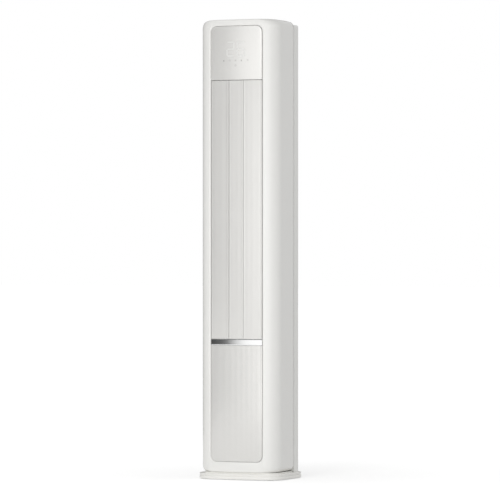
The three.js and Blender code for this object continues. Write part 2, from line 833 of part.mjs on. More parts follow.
function deflector(z, isLead) {
  const half = deflectorThickness / 2;
  const nose = deflectorY - deflectorChord / 2;
  const tail = deflectorY + deflectorChord / 2;
  const [flatStart, flatEnd] = [nose + deflectorChord / 4, tail - deflectorChord / 4];
  const profile = polygon([
    [nose, z], [flatStart, z - half], [flatEnd, z - half],
    [tail, z], [flatEnd, z + half], [flatStart, z + half],
  ]);
  const blade = new THREE.ExtrudeGeometry(profile, { depth: 2 * deflectorEnd, bevelEnabled: false });
  // The profile is drawn in Y and Z and raised along X.
  const toX = new THREE.Matrix4().set(0, 0, 1, -deflectorEnd, 1, 0, 0, 0, 0, 1, 0, 0, 0, 0, 0, 1);
  const notchHalf = deflectorNotchWidth / 2;
  const notch = block(
    deflectorLinkX - notchHalf, deflectorLinkX + notchHalf,
    deflectorY + deflectorNotchFromAxis, deflectorY + deflectorChord, z - deflectorChord, z + deflectorChord,
  );
  const pinEnd = frameOutside;
  const driven = isLead ? pinEnd + stepperBore : pinEnd;
  const pins = [
    crosswise(deflectorY, z, deflectorPinRadius, -pinEnd, 1 - deflectorEnd, 6),
    crosswise(deflectorY, z, deflectorPinRadius, deflectorEnd - 1, driven, 6),
  ];
  const [near, far] = [deflectorLinkX - notchHalf - 1, deflectorLinkX + notchHalf + 1];
  const crank = crosswise(deflectorCrankY, z, deflectorCrankPinRadius, near, far, 6);
  return join(cut(solid(blade.applyMatrix4(toX)), notch), ...pins, crank);
}

function deflectorLink() {
  const end = deflectorLinkWidth;
  const [bottom, top] = [deflectorHeights[0] - end, deflectorHeights.at(-1) + end];
  const half = deflectorLinkThickness / 2;
  const rod = block(
    deflectorLinkX - half, deflectorLinkX + half,
    deflectorCrankY - deflectorLinkWidth / 2, deflectorCrankY + deflectorLinkWidth / 2, bottom, top,
  );
  const bore = deflectorCrankPinRadius + turnGap;
  const [boreStart, boreEnd] = [deflectorLinkX - half - 1, deflectorLinkX + half + 1];
  const holes = deflectorHeights.map((z) => crosswise(deflectorCrankY, z, bore, boreStart, boreEnd, 8));
  return cut(rod, ...holes);
}

function deflectorMotor() {
  const z = deflectorHeights[leadDeflector];
  const start = frameOutside + seatGap;
  return cut(
    crosswise(deflectorY, z, stepperRadius, start, start + stepperLength, 24),
    crosswise(deflectorY, z, deflectorPinRadius + turnGap, start - 1, start + stepperBore, 8),
  );
}

// ---- Cross-flow fan -----------------------------------------------------------------------------

const around = (radius, degrees) => {
  const angle = THREE.MathUtils.degToRad(degrees);
  return [radius * Math.cos(angle), radius * Math.sin(angle)];
};

// One blade in plan: a thin band, swept forwards, that runs from the inner radius to the discs' rim.
function bladeShape() {
  const rim = rotorRadius - 1;
  const stations = [0, 0.5, 1].map((t) => {
    const radius = bladeInnerRadius + t * (rim - bladeInnerRadius);
    return [radius, bladeSweep * t * t, THREE.MathUtils.radToDeg(bladeThickness / 2 / radius)];
  });
  const lead = stations.map(([radius, angle, half]) => around(radius, angle - half));
  const trail = stations.map(([radius, angle, half]) => around(radius, angle + half)).reverse();
  return polygon([...lead, ...trail]);
}

function fanRotor() {
  const parts = [];
  for (let i = 0; i < discCount; i += 1) {
    const z = rotorBottom + ((rotorTop - rotorBottom - discThickness) * i) / (discCount - 1);
    parts.push(upright(0, 0, rotorRadius, z, z + discThickness, 26));
  }
  const blade = bladeShape();
  const bladeLength = rotorTop - rotorBottom - 2;
  for (let i = 0; i < bladeCount; i += 1) {
    const geometry = new THREE.ExtrudeGeometry(blade, { depth: bladeLength, bevelEnabled: false });
    geometry.rotateZ((2 * Math.PI * i) / bladeCount).translate(0, 0, rotorBottom + 1);
    parts.push(solid(geometry));
  }
  parts.push(upright(0, 0, hubRadius, rotorBottom + 1, rotorBottom + hubLength));
  parts.push(upright(0, 0, hubRadius, rotorTop - hubLength, rotorTop - 1));
  const shaftBore = upright(0, 0, shaftRadius + seatGap, 0, rotorBottom + hubLength - 2);
  const journalBore = upright(0, 0, journalRadius + seatGap, rotorTop - journalLength / 2, columnHeight);
  return cut(join(...parts), shaftBore, journalBore).translate([rotorX, rotorY, 0]);
}

const motorTop = lowerShelfBottom - motorDrop;
const fanShaft = () => upright(
  rotorX, rotorY, shaftRadius, motorTop - motorLength / 2, rotorBottom + hubLength - 2 - seatGap,
);
const fanJournal = () => upright(
  rotorX, rotorY, journalRadius, rotorTop - journalLength / 2 + seatGap, upperShelfTop + bearingHeight - 2,
);

const fanMotor = () => cut(
  upright(rotorX, rotorY, motorRadius, motorTop - motorLength, motorTop, 24),
  upright(rotorX, rotorY, shaftRadius + turnGap, motorTop - motorLength / 2 - seatGap, columnHeight),
);

function motorBracket() {
  const outer = motorRadius + seatGap + bracketWall;
  const top = lowerShelfBottom - seatGap;
  const cup = upright(rotorX, rotorY, outer, top - bracketHeight, top, 24);
  const flange = upright(rotorX, rotorY, outer + 2 * bracketWall, top - bracketWall, top, 24);
  return cut(join(cup, flange), upright(rotorX, rotorY, motorRadius + seatGap, 0, columnHeight, 24));
}

const upperBearing = () => cut(
  join(
    upright(rotorX, rotorY, bearingRadius, upperShelfTop + seatGap, upperShelfTop + bearingHeight, 16),
    upright(rotorX, rotorY, bearingFlangeRadius, upperShelfTop + seatGap, upperShelfTop + bracketWall, 16),
  ),
  upright(rotorX, rotorY, journalRadius + turnGap, 0, columnHeight),
);

// The volute: a foam block whose spiral face leads the air from the rotor's back round to the outlet.
function voluteGuide() {
  const mouth = [-frameInside, frameBackY + seatGap];
  const [dx, dy] = [mouth[0] - rotorX, mouth[1] - rotorY];
  const mouthAngle = THREE.MathUtils.radToDeg(Math.atan2(dy, dx)) + 360;
  const startRadius = rotorRadius + voluteGap;
  const growth = Math.log(Math.hypot(dx, dy) / startRadius) / (mouthAngle - voluteStartAngle);
  const spiral = [];
  const steps = 14;
  for (let i = 0; i <= steps; i += 1) {
    const turned = ((mouthAngle - voluteStartAngle) * i) / steps;
    const [x, y] = around(startRadius * Math.exp(growth * turned), voluteStartAngle + turned);
    spiral.push([rotorX + x, rotorY + y]);
  }
  const outside = [[-ductBackX, mouth[1]], [-ductBackX, ductBackY], [spiral[0][0] - ductWall, ductBackY]];
  return prism(polygon([...spiral, ...outside]), ductBottom, ductTop);
}

// The stabiliser: the block with a tongue close to the rotor that parts the outlet from the intake.
function flowStabiliser() {
  const [tipX, tipY] = around(rotorRadius + stabiliserGap, stabiliserAngle);
  const [x, y] = [rotorX + tipX, rotorY + tipY];
  const mouthY = frameBackY + seatGap;
  const shape = new THREE.Shape();
  shape.moveTo(x, y);
  shape.quadraticCurveTo((x + frameInside) / 2, mouthY + ductWall, frameInside, mouthY);
  shape.lineTo(ductBackX, mouthY);
  shape.lineTo(ductBackX, rotorY);
  shape.quadraticCurveTo((x + frameInside) / 2, rotorY - ductWall, x + ductWall, y + 2 * ductWall);
  return prism(shape, ductBottom, ductTop);
}

// ---- Coil, drain pan and pipes ------------------------------------------------------------------

const coilRowYs = Array.from({ length: coilRows }, (_, i) => coilFrontY + (coilDepth * (i + 0.5)) / coilRows);
const coilColumnXs = Array.from({ length: coilColumns }, (_, i) => (i - (coilColumns - 1) / 2) * coilPitch);
const gasTailX = nutRadius + nutWallGap + coverWall - columnWidth / 2;
const tailXs = [(coilColumnXs[0] + gasTailX) / 2, gasTailX];
const tailYs = [coilRowYs[0], coilRowYs.at(-1)];
const tailBottoms = [lowerShelfBottom - tailDrop + tailStagger, lowerShelfBottom - tailDrop];

const roundSection = (radius, sides) => Array.from(
  { length: sides },
  (_, i) => around(radius, (360 * i) / sides),
);

// The tube runs up and down through every column of the first row and comes back through the next.
function coilPasses() {
  const passes = [];
  coilRowYs.forEach((y, row) => {
    const columns = row % 2 === 0 ? coilColumnXs : [...coilColumnXs].reverse();
    columns.forEach((x) => passes.push([x, y]));
  });
  return passes;
}

// From the end of a row down past the pan to a pipe end in the lower compartment.
function tailStations(x0, index, top) {
  const [x1, y] = [tailXs[index], tailYs[index]];
  const stations = [];
  const steps = 5;
  for (let i = 1; i <= steps; i += 1) {
    const t = i / steps;
    const x = x0 + (x1 - x0) * (0.5 - 0.5 * Math.cos(Math.PI * t));
    stations.push(new THREE.Vector3(x, y, top - tailFall * t));
  }
  stations.push(new THREE.Vector3(x1, y, tailBottoms[index]));
  return stations;
}

function coilTube() {
  const passes = coilPasses();
  const [low, high] = [finBottom - tubeStraightOut, finTop + tubeStraightOut];
  const bendSteps = 4;
  const stations = tailStations(passes[0][0], 0, low).reverse();
  passes.forEach(([x, y], i) => {
    const up = i % 2 === 0;
    const [start, end] = up ? [low, high] : [high, low];
    stations.push(new THREE.Vector3(x, y, start), new THREE.Vector3(x, y, end));
    if (i === passes.length - 1) return;
    const [nextX, nextY] = passes[i + 1];
    const radius = Math.hypot(nextX - x, nextY - y) / 2;
    for (let step = 1; step < bendSteps; step += 1) {
      const angle = (Math.PI * step) / bendSteps;
      const along = 0.5 - 0.5 * Math.cos(angle);
      const rise = radius * Math.sin(angle) * (up ? 1 : -1);
      stations.push(new THREE.Vector3(x + (nextX - x) * along, y + (nextY - y) * along, end + rise));
    }
  });
  stations.push(...tailStations(passes.at(-1)[0], 1, low));
  return tube(stations, polygon(roundSection(tubeRadius, 6)));
}

function finBlock() {
  const fins = block(-coilHalfWidth, coilHalfWidth, coilFrontY, coilBackY, finBottom, finTop);
  const holes = coilPasses().map(([x, y]) => upright(x, y, tubeRadius + finHoleGap, 0, columnHeight, 6));
  return cut(fins, ...holes);
}

function coilBracket(side) {
  const inner = coilHalfWidth + seatGap;
  const outer = inner + coilBracketSheet;
  const flange = outer + coilBracketFlange;
  const back = coilBackY + coilBracketSheet;
  const plan = [
    [inner, coilFrontY], [outer, coilFrontY], [outer, coilBackY],
    [flange, coilBackY], [flange, back], [inner, back],
  ];
  return prism(polygon(plan.map(([x, y]) => [side * x, y])), finBottom + coilBracketSheet, ductTop);
}

const panFrontY = ductBackY + seatGap;
const drainY = panFrontY + panDepth / 2;

function drainPan() {
  const half = panWidth / 2;
  const back = panFrontY + panDepth;
  const outer = block(-half, half, panFrontY, back, ductBottom, ductBottom + panHeight);
  const inner = block(
    -half + panWall, half - panWall, panFrontY + panWall, back - panWall, ductBottom + panWall, columnHeight,
  );
  const spout = upright(pipePortX, drainY, drainRadius, lowerShelfBottom - drainSpout, ductBottom + 1);
  return cut(join(outer, spout), inner, upright(pipePortX, drainY, drainRadius - drainWall, 0, columnHeight));
}

const drainPipeBore = drainRadius + 2 * seatGap;

function drainPipe() {
  const bendBottom = pipePortZ + drainBend;
  const stations = [new THREE.Vector3(pipePortX, drainY, lowerShelfTop)];
  const steps = 6;
  for (let i = 0; i <= steps; i += 1) {
    const [across, down] = around(drainBend, (90 * i) / steps);
    stations.push(new THREE.Vector3(pipePortX, drainY + drainBend - across, bendBottom - down));
  }
  const section = polygon(roundSection(drainPipeBore + drainWall, 10));
  section.holes.push(polygon(roundSection(drainPipeBore, 10)));
  return tube(stations, section);
}

// A flare nut on the end of one of the coil's two pipes.
function flareNut(index) {
  const [x, y] = [tailXs[index], tailYs[index]];
  const pipeEnd = tailBottoms[index];
  const bottom = pipeEnd - nutHeight / 2;
  return cut(
    upright(x, y, nutRadius, bottom, bottom + nutHeight, 6),
    upright(x, y, tubeRadius + 2 * seatGap, pipeEnd - seatGap, columnHeight, 8),
  );
}

// ---- Electrical box -----------------------------------------------------------------------------

const boxTop = lowerShelfBottom - seatGap;
const boxBottom = boxTop - boxHeight;
const boxFrontY = frontY + boxFront;
const boxBackY = boxFrontY + boxDepth;
const boardBackY = boxBackY - boxWall - boardStandoff;
const boardHalfWidth = boxWidth / 2 - boxWall - boardMargin;
const boardBottom = boxBottom + boxWall + terminalHeight + boardMargin;
const boardTop = boxTop - boxWall - boardMargin;

function electricalBox() {
  const half = boxWidth / 2;
  const outer = block(-half, half, boxFrontY, boxBackY, boxBottom, boxTop);
  const inner = block(
    -half + boxWall, half - boxWall, boxFrontY - 1, boxBackY - boxWall, boxBottom + boxWall, boxTop - boxWall,
  );
  const posts = [-1, 1].flatMap((side) => [boardBottom + boardPost, boardTop - boardPost].map((z) => endOn(
    side * (boardHalfWidth - boardPost), z, postRadius, boardBackY + seatGap, boxBackY - boxWall / 2, 12,
  )));
  return join(cut(outer, inner), ...posts);
}

const electricalLid = () => block(
  -boxWidth / 2, boxWidth / 2, boxFrontY - seatGap - boxWall, boxFrontY - seatGap, boxBottom, boxTop,
);

const controlBoard = () => block(
  -boardHalfWidth, boardHalfWidth, boardBackY - boardThickness, boardBackY, boardBottom, boardTop,
);

// A row of screw terminals with barriers between the poles.
function terminalBlock() {
  const half = (terminalPoles * terminalPitch) / 2;
  const bottom = boxBottom + boxWall + seatGap;
  const back = boxBackY - boxWall - seatGap;
  const body = block(-half, half, back - terminalDepth, back, bottom, bottom + terminalHeight);
  const wellHalf = terminalPitch / 2 - terminalBarrier;
  const wellBack = back - terminalDepth / 2;
  const wells = Array.from({ length: terminalPoles }, (_, i) => {
    const x = -half + (i + 0.5) * terminalPitch;
    return block(x - wellHalf, x + wellHalf, frontY, wellBack, bottom + boxWall, bottom + terminalHeight + 1);
  });
  return cut(body, ...wells);
}

// ---- Ports in the back wall ---------------------------------------------------------------------

const portInner = backY - coverWall - seatGap;
const portOuter = backY + seatGap;

const pipePortRing = () => cut(
  join(
    endOn(pipePortX, pipePortZ, pipePortRadius - seatGap, portInner - portFlangeThickness, portOuter + 1, 24),
    endOn(pipePortX, pipePortZ, pipePortRadius + portFlange, portOuter, portOuter + portFlangeThickness, 24),
  ),
  endOn(pipePortX, pipePortZ, pipePortRadius - coverWall, 0, columnDepth, 24),
);

const cableGland = () => cut(
  join(
    endOn(glandX, glandZ, glandRadius - seatGap, portInner - portFlangeThickness, portOuter + 1, 16),
    endOn(glandX, glandZ, glandRadius + portFlange, portOuter, portOuter + portFlangeThickness, 16),
    endOn(glandX, glandZ, glandRadius + portFlange / 2, portInner - portFlangeThickness, portInner, 6),
  ),
  endOn(glandX, glandZ, cableRadius, 0, columnDepth, 12),
);

// ---- The whole unit -----------------------------------------------------------------------------

piece('base_plate', basePlate(), satinWhite());
footPlaces.forEach(([corner, x, y]) => {
  piece(`foot_${corner}`, upright(x, y, footRadius, 0, footHeight, 20), rubber());
});
piece('front_cover', frontCover(), glossWhite());
piece('rear_housing', rearHousing(), satinWhite());
piece('intake_grille', intakeGrille(), satinWhite());
piece('filter_lower', airFilter(filterEdges.lower), greyPlastic());
piece('filter_upper', airFilter(filterEdges.upper), greyPlastic());

piece('display_panel', displayPanel(), glossWhite());
piece('display_board', displayBoard(), boardGreen());
piece('trim_strip', trimStrip(), chrome());
piece('lower_panel', lowerPanel(), satinWhite());

const wireHole = upright(columnWidth / 2 - wireHoleInset, 0, wireHoleRadius, 0, columnHeight);
const tailHoles = tailXs.map((x, i) => upright(x, tailYs[i], tubeRadius + 1, 0, columnHeight, 10));
const drainHole = upright(pipePortX, drainY, drainPipeBore + drainWall + 2 * seatGap, 0, columnHeight);
const shaftHole = (radius) => upright(rotorX, rotorY, radius + 1, 0, columnHeight);
const lowerHoles = [shaftHole(shaftRadius), ...tailHoles, drainHole, wireHole];
piece('lower_shelf', shelfPlate(lowerShelfBottom, ...lowerHoles), zincSteel());
piece('upper_shelf', shelfPlate(upperShelfBottom, shaftHole(journalRadius), wireHole), zincSteel());

piece('outlet_frame', outletFrame(), satinWhite());
Object.entries(vanes).forEach(([name, edges]) => piece(name, vane(edges), satinWhite()));
piece('louvre_link', louvreLink(), greyPlastic());
piece('louvre_motor', louvreMotor(), zincSteel());
deflectorHeights.forEach((z, i) => {
  piece(`deflector_${i + 1}`, deflector(z, i === leadDeflector), greyPlastic());
});
piece('deflector_link', deflectorLink(), greyPlastic());
piece('deflector_motor', deflectorMotor(), zincSteel());

piece('volute_guide', voluteGuide(), foamWhite());
piece('flow_stabiliser', flowStabiliser(), foamWhite());
piece('fan_rotor', fanRotor(), darkPlastic());
piece('fan_shaft', fanShaft(), zincSteel());
piece('fan_journal', fanJournal(), zincSteel());
piece('fan_motor', fanMotor(), darkPlastic());
piece('motor_bracket', motorBracket(), zincSteel());
piece('upper_bearing', upperBearing(), rubber());

piece('fin_block', finBlock(), aluminium());
piece('coil_tube', coilTube(), copper());
piece('coil_bracket_left', coilBracket(-1), zincSteel());
piece('coil_bracket_right', coilBracket(1), zincSteel());
piece('drain_pan', drainPan(), foamWhite());
piece('drain_pipe', drainPipe(), greyPlastic());
piece('liquid_nut', flareNut(0), brass());
piece('gas_nut', flareNut(1), brass());

piece('electrical_box', electricalBox(), zincSteel());
piece('electrical_lid', electricalLid(), zincSteel());
piece('control_board', controlBoard(), boardGreen());
piece('terminal_block', terminalBlock(), darkPlastic());
piece('pipe_port_ring', pipePortRing(), greyPlastic());
piece('cable_gland', cableGland(), darkPlastic());

export default unit;
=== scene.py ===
"""A floor standing air conditioner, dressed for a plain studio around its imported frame.

The tall white column has a moulded front cover that frames a display panel, three upright vanes,
a bright trim strip and a fluted lower panel. Behind them sit the deflectors, the cross-flow fan,
the coil and the filters. Every class below makes one sub-assembly and dresses it in its finishes.
Lengths are in metres, +Z is up, +X is to the right and -Y faces the room.
"""

import logging
import math
from dataclasses import dataclass, field
from enum import Enum
from typing import Callable, Mapping, Sequence

import bpy
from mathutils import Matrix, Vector


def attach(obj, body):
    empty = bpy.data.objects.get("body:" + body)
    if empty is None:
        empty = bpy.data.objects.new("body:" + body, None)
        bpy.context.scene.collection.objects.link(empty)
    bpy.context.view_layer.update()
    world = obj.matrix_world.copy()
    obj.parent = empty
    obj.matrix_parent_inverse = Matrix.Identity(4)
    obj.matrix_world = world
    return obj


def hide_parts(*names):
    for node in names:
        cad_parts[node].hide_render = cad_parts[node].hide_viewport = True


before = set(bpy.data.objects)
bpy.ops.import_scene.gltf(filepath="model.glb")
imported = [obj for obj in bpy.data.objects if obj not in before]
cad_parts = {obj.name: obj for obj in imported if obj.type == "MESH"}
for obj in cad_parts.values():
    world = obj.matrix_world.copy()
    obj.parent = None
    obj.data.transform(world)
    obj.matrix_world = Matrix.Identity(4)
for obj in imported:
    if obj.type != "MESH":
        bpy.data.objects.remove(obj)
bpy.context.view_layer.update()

LOG = logging.getLogger("air_conditioner")
MM = 0.001

# The slow drift of a finish: its repeats per metre, its noise's octaves and the values it spans.
DRIFT_PER_METRE = 3.0
DRIFT_DETAIL = 2.0
DRIFT_SPAN = (0.3, 0.7)
# How far the drift takes the roughness up and down, as a share of it.
ROUGHNESS_DRIFT = 0.12
# How much of its second colour a patterned surface takes on the pattern's highs.
PATTERN_SHARE = 0.9
# A wave texture of scale 1 repeats every 2 pi / 20 metres.
WAVES_PER_SCALE = 10 / math.pi

Point = tuple[float, float, float]
Flat = tuple[float, float]
Ring = list[Point]


# ---- Colour and shader nodes -------------------------------------------------


def linear(colour: str) -> tuple[float, float, float, float]:
    """Turns an sRGB hex colour into the linear colour that shaders take.

    Args:
        colour: Six hex digits, such as "F4F3F0".

    Returns:
        Linear red, green and blue, and an alpha of 1.
    """
    def channel(start: int) -> float:
        """One channel of the colour, in linear light."""
        value = int(colour[start:start + 2], 16) / 255
        return value / 12.92 if value <= 0.04045 else ((value + 0.055) / 1.055) ** 2.4

    return (channel(0), channel(2), channel(4), 1.0)


def add_node(
    tree: bpy.types.NodeTree,
    kind: str,
    settings: Mapping[str, object] | None = None,
    values: Mapping[str | int, object] | None = None,
    links: Mapping[str | int, bpy.types.NodeSocket] | None = None,
) -> bpy.types.Node:
    """Adds a shader node with its settings and links.

    Args:
        tree: The node tree that the node joins.
        kind: Blender's own name of the node type.
        settings: Properties of the node, by name.
        values: Constants for its input sockets, by name or place.
        links: Output sockets that feed its input sockets, by name or place.

    Returns:
        The new node.
    """
    made = tree.nodes.new(kind)
    for name, value in (settings or {}).items():
        setattr(made, name, value)
    for socket, value in (values or {}).items():
        made.inputs[socket].default_value = value
    for socket, source in (links or {}).items():
        tree.links.new(source, made.inputs[socket])
    return made


def empty_material(name: str) -> bpy.types.Material:
    """Makes a material whose node tree is still empty.

    Args:
        name: Its name.

    Returns:
        The Blender material.
    """
    made = bpy.data.materials.new(name)
    made.use_nodes = True
    made.node_tree.nodes.clear()
    return made


class Surface(Enum):
    """How a finish's surface was made, which sets its pattern."""

    MOULDED = "moulded"
    PEARL = "pearl coated"
    PLATED = "plated"
    FOAMED = "foamed"
    GALVANISED = "galvanised"
    FINNED = "finned"
    DRAWN = "drawn"
    TURNED = "turned"
    LAMINATED = "laminated"
    WOVEN = "woven"
    PRINTED = "printed"


@dataclass(frozen=True)
class Finish:
    """One real material with the way its surface was made.

    Attributes:
        name: The material's plain name.
        slot: The material slot that it belongs to; not used.
        surface: How the surface was made.
        colour: Its colour as sRGB hex.
        shade: A second colour that it drifts towards.
        roughness: Its mean roughness.
        grain: The real size of its surface pattern, in metres.
        relief: The height of that pattern, in metres.
        metallic: How much of it reflects as metal does.
        ior: Its index of refraction, for what is not a metal.
    """

    name: str
    slot: str
    surface: Surface
    colour: str
    shade: str
    roughness: float
    grain: float
    relief: float
    metallic: float = 0.0
    ior: float = 1.5

    def build(self) -> bpy.types.Material:
        """Builds the material's nodes, once.

        Returns:
            The Blender material.
        """
        known = bpy.data.materials.get(self.name)
        if known:
            return known
        made = empty_material(self.name)
        tree = made.node_tree
        place = add_node(tree, "ShaderNodeTexCoord").outputs["Object"]
        pattern = self.pattern(tree, place)
        drift = add_node(
            tree, "ShaderNodeTexNoise",
            values={"Scale": DRIFT_PER_METRE, "Detail": DRIFT_DETAIL}, links={"Vector": place},
        )
        mixed = add_node(
            tree, "ShaderNodeMix", {"data_type": "RGBA"},
            {6: linear(self.colour), 7: linear(self.shade)},
            {0: self.blend(tree, pattern, drift.outputs["Fac"])},
        )
        rough = add_node(
            tree, "ShaderNodeMapRange",
            values={
                "From Min": DRIFT_SPAN[0], "From Max": DRIFT_SPAN[1],
                "To Min": self.roughness * (1 - ROUGHNESS_DRIFT),
                "To Max": min(1.0, self.roughness * (1 + ROUGHNESS_DRIFT)),
            },
            links={"Value": drift.outputs["Fac"]},
        )
        bump = add_node(
            tree, "ShaderNodeBump",
            values={"Strength": 1.0, "Distance": self.relief}, links={"Height": pattern},
        )
        shader = add_node(
            tree, "ShaderNodeBsdfPrincipled",
            values={"Metallic": self.metallic, "IOR": self.ior},
            links={
                "Base Color": mixed.outputs[2],
                "Roughness": rough.outputs["Result"],
                "Normal": bump.outputs["Normal"],
            },
        )
        add_node(tree, "ShaderNodeOutputMaterial", links={"Surface": shader.outputs["BSDF"]})
        return made

    def blend(
        self, tree: bpy.types.NodeTree, pattern: bpy.types.NodeSocket, drift: bpy.types.NodeSocket,
    ) -> bpy.types.NodeSocket:
        """Says where the second colour shows: on the pattern's highs, or in slow drifts.

        Args:
            tree: The material's node tree.
            pattern: The surface pattern, from 0 to 1.
            drift: A slow noise, from 0 to 1.

        Returns:
            The mixing factor's socket.
        """
        if self.surface in (Surface.MOULDED, Surface.PEARL, Surface.PLATED, Surface.PRINTED):
            return drift
        # On the bead foam and the fins, the darker first colour in the pattern's lows is painted
        # shade in the grooves and gaps.
        return add_node(
            tree, "ShaderNodeMath", {"operation": "MULTIPLY"}, {1: PATTERN_SHARE}, {0: pattern},
        ).outputs[0]

    def pattern(
        self, tree: bpy.types.NodeTree, place: bpy.types.NodeSocket,
    ) -> bpy.types.NodeSocket:
        """Draws the relief that the making left, at its real size.

        Args:
            tree: The material's node tree.
            place: The object's own coordinates, in metres.

        Returns:
            The socket of the relief, from 0 to 1.
        """
        per_metre = 1 / self.grain
        if self.surface is Surface.FOAMED:
            # Expanded beads show as small rounded cells; the colour that follows them is painted
            # shade in the grooves between them.
            return add_node(
                tree, "ShaderNodeTexVoronoi", {"feature": "DISTANCE_TO_EDGE"},
                {"Scale": per_metre}, {"Vector": place},
            ).outputs["Distance"]
        if self.surface is Surface.GALVANISED:
            # Zinc freezes in flat spangles, each with a grey of its own.
            return add_node(
                tree, "ShaderNodeTexVoronoi", {"feature": "F1"},
                {"Scale": per_metre}, {"Vector": place},
            ).outputs["Color"]
        bands = {
            Surface.FINNED: ("X", 0.0), Surface.TURNED: ("Z", 0.0), Surface.DRAWN: ("Z", 1.5),
            Surface.WOVEN: ("DIAGONAL", 0.0),
        }
        if self.surface in bands:
            # Fins, turning rings, drawing marks and threads repeat in bands; a die's marks waver.
            # Between the fins the dark bands are painted shade.
            direction, waver = bands[self.surface]
            return add_node(
                tree, "ShaderNodeTexWave",
                {"bands_direction": direction, "wave_profile": "SIN"},
                {"Scale": per_metre / WAVES_PER_SCALE, "Distortion": waver, "Detail": 1.0},
                {"Vector": place},
            ).outputs["Fac"]
        if self.surface is Surface.LAMINATED:
            # Copper tracks run under the solder mask in short square steps.
            return add_node(
                tree, "ShaderNodeTexBrick", {"offset": 0.37},
                {
                    "Scale": per_metre, "Mortar Size": 0.08, "Brick Width": 2.0, "Row Height": 0.5,
                    "Color1": (0, 0, 0, 1), "Color2": (0.2, 0.2, 0.2, 1), "Mortar": (1, 1, 1, 1),
                },
                {"Vector": add_node(
                    tree, "ShaderNodeMapping", values={"Rotation": (math.pi / 2, 0, 0)},
                    links={"Vector": place},
                ).outputs["Vector"]},
            ).outputs["Color"]
        # A mould leaves the soft unevenness of its polish or its grain.
        return add_node(
            tree, "ShaderNodeTexNoise",
            values={"Scale": per_metre, "Detail": 3.0, "Roughness": 0.55}, links={"Vector": place},
        ).outputs["Fac"]


# High gloss ABS, injection moulded in a polished tool: a deep even white with soft, clear
# reflections and the faintest orange peel.
GLOSS_ABS = Finish(
    "gloss_abs", "gloss_white", Surface.MOULDED, "F6F5F2", "F3F3F0",
    roughness=0.24, grain=9 * MM, relief=0.005 * MM, ior=1.53,
)
# The same ABS in the housing, from a tool that was polished less: a little softer.
HOUSING_ABS = Finish(
    "housing_abs", "satin_white", Surface.MOULDED, "F4F4F1", "F0F0ED",
    roughness=0.36, grain=6 * MM, relief=0.006 * MM, ior=1.53,
)
# High impact polystyrene of the base, softly glossy. Its white is painted brighter than the
# cover's: painted light that makes up for the weaker light near the floor.
BASE_POLYSTYRENE = Finish(
    "base_polystyrene", "satin_white", Surface.MOULDED, "FAF9F5", "F6F5F1",
    roughness=0.34, grain=5 * MM, relief=0.005 * MM, ior=1.59,
)
# ABS under a pearl coat with mica: it takes its tone partly from what stands before it, so the
# smooth display panel shades from side to side.
PEARL_ABS = Finish(
    "pearl_coated_abs", "gloss_white", Surface.PEARL, "F0EFEC", "EDECE9",
    roughness=0.2, grain=4 * MM, relief=0.002 * MM, metallic=0.26, ior=1.53,
)
# The same pearl coat on the vanes and the lower panel, over their fine flutes.
PEARL_FLUTED_ABS = Finish(
    "pearl_coated_fluted_abs", "satin_white", Surface.PEARL, "E6E5E2", "E2E1DE",
    roughness=0.32, grain=4 * MM, relief=0.002 * MM, metallic=0.36, ior=1.53,
)
# Satin ABS, from a spark eroded tool: a dry, even white.
SATIN_ABS = Finish(
    "satin_abs", "satin_white", Surface.MOULDED, "ECECE8", "E6E6E2",
    roughness=0.5, grain=1.2 * MM, relief=0.02 * MM, ior=1.53,
)
# Vacuum metallised ABS under a lacquer: a near mirror that is only slightly softened.
METALLISED_ABS = Finish(
    "metallised_abs", "chrome", Surface.PLATED, "E9E9E8", "E4E5E6",
    roughness=0.07, grain=12 * MM, relief=0.01 * MM, metallic=1.0,
)
# Glass filled acrylonitrile styrene of the fan's blades: a dull dark grey with a fibrous bloom.
FAN_RESIN = Finish(
    "glass_filled_styrene", "dark_plastic", Surface.MOULDED, "5A5E62", "4C5054",
    roughness=0.5, grain=1.5 * MM, relief=0.03 * MM, ior=1.57,
)
# Glass filled polypropylene of deflectors, links and filter frames: a pale grey, slightly clouded.
FILLED_POLYPROPYLENE = Finish(
    "filled_polypropylene", "grey_plastic", Surface.MOULDED, "C2C5C7", "B4B8BB",
    roughness=0.55, grain=1.5 * MM, relief=0.03 * MM, ior=1.49,
)
# Dark nylon and PBT of motors and sockets: nearly black and matt.
DARK_PBT = Finish(
    "dark_pbt", "dark_plastic", Surface.MOULDED, "45484B", "3B3E41",
    roughness=0.6, grain=1 * MM, relief=0.03 * MM, ior=1.56,
)
# Expanded polystyrene: white beads of about 3 mm with fine grooves between them. The grey in
# the grooves is painted shade.
BEAD_FOAM = Finish(
    "bead_foam", "foam", Surface.FOAMED, "D2D2CC", "F0F0EC",
    roughness=0.85, grain=3.5 * MM, relief=0.4 * MM, ior=1.45,
)
# Hot dip galvanised sheet: mild steel under zinc spangle of about 8 mm.
GALVANISED_STEEL = Finish(
    "galvanised_steel", "zinc_steel", Surface.GALVANISED, "A4A9AC", "BDC1C3",
    roughness=0.38, grain=8 * MM, relief=0.02 * MM, metallic=1.0,
)
# Pressed aluminium fins. Their real pitch of 1.6 mm is too fine to show, so it is drawn at 4 mm.
# The dark bands between the drawn fins are painted shade.
ALUMINIUM_FINS = Finish(
    "aluminium_fins", "aluminium", Surface.FINNED, "8D9194", "DADCDD",
    roughness=0.4, grain=4 * MM, relief=0.6 * MM, metallic=0.9,
)
# Drawn copper tube, dulled a little by handling.
DRAWN_COPPER = Finish(
    "drawn_copper", "copper", Surface.DRAWN, "B8714A", "C98862",
    roughness=0.33, grain=14 * MM, relief=0.02 * MM, metallic=1.0,
)
# Turned brass flare nuts with the lathe's fine rings.
TURNED_BRASS = Finish(
    "turned_brass", "brass", Surface.TURNED, "B6995A", "C9AE6F",
    roughness=0.24, grain=1.2 * MM, relief=0.04 * MM, metallic=1.0,
)
# Bright drawn steel of the fan's shaft.
BRIGHT_STEEL = Finish(
    "bright_steel", "zinc_steel", Surface.TURNED, "B4B8BB", "C6C9CB",
    roughness=0.24, grain=1.5 * MM, relief=0.02 * MM, metallic=1.0,
)
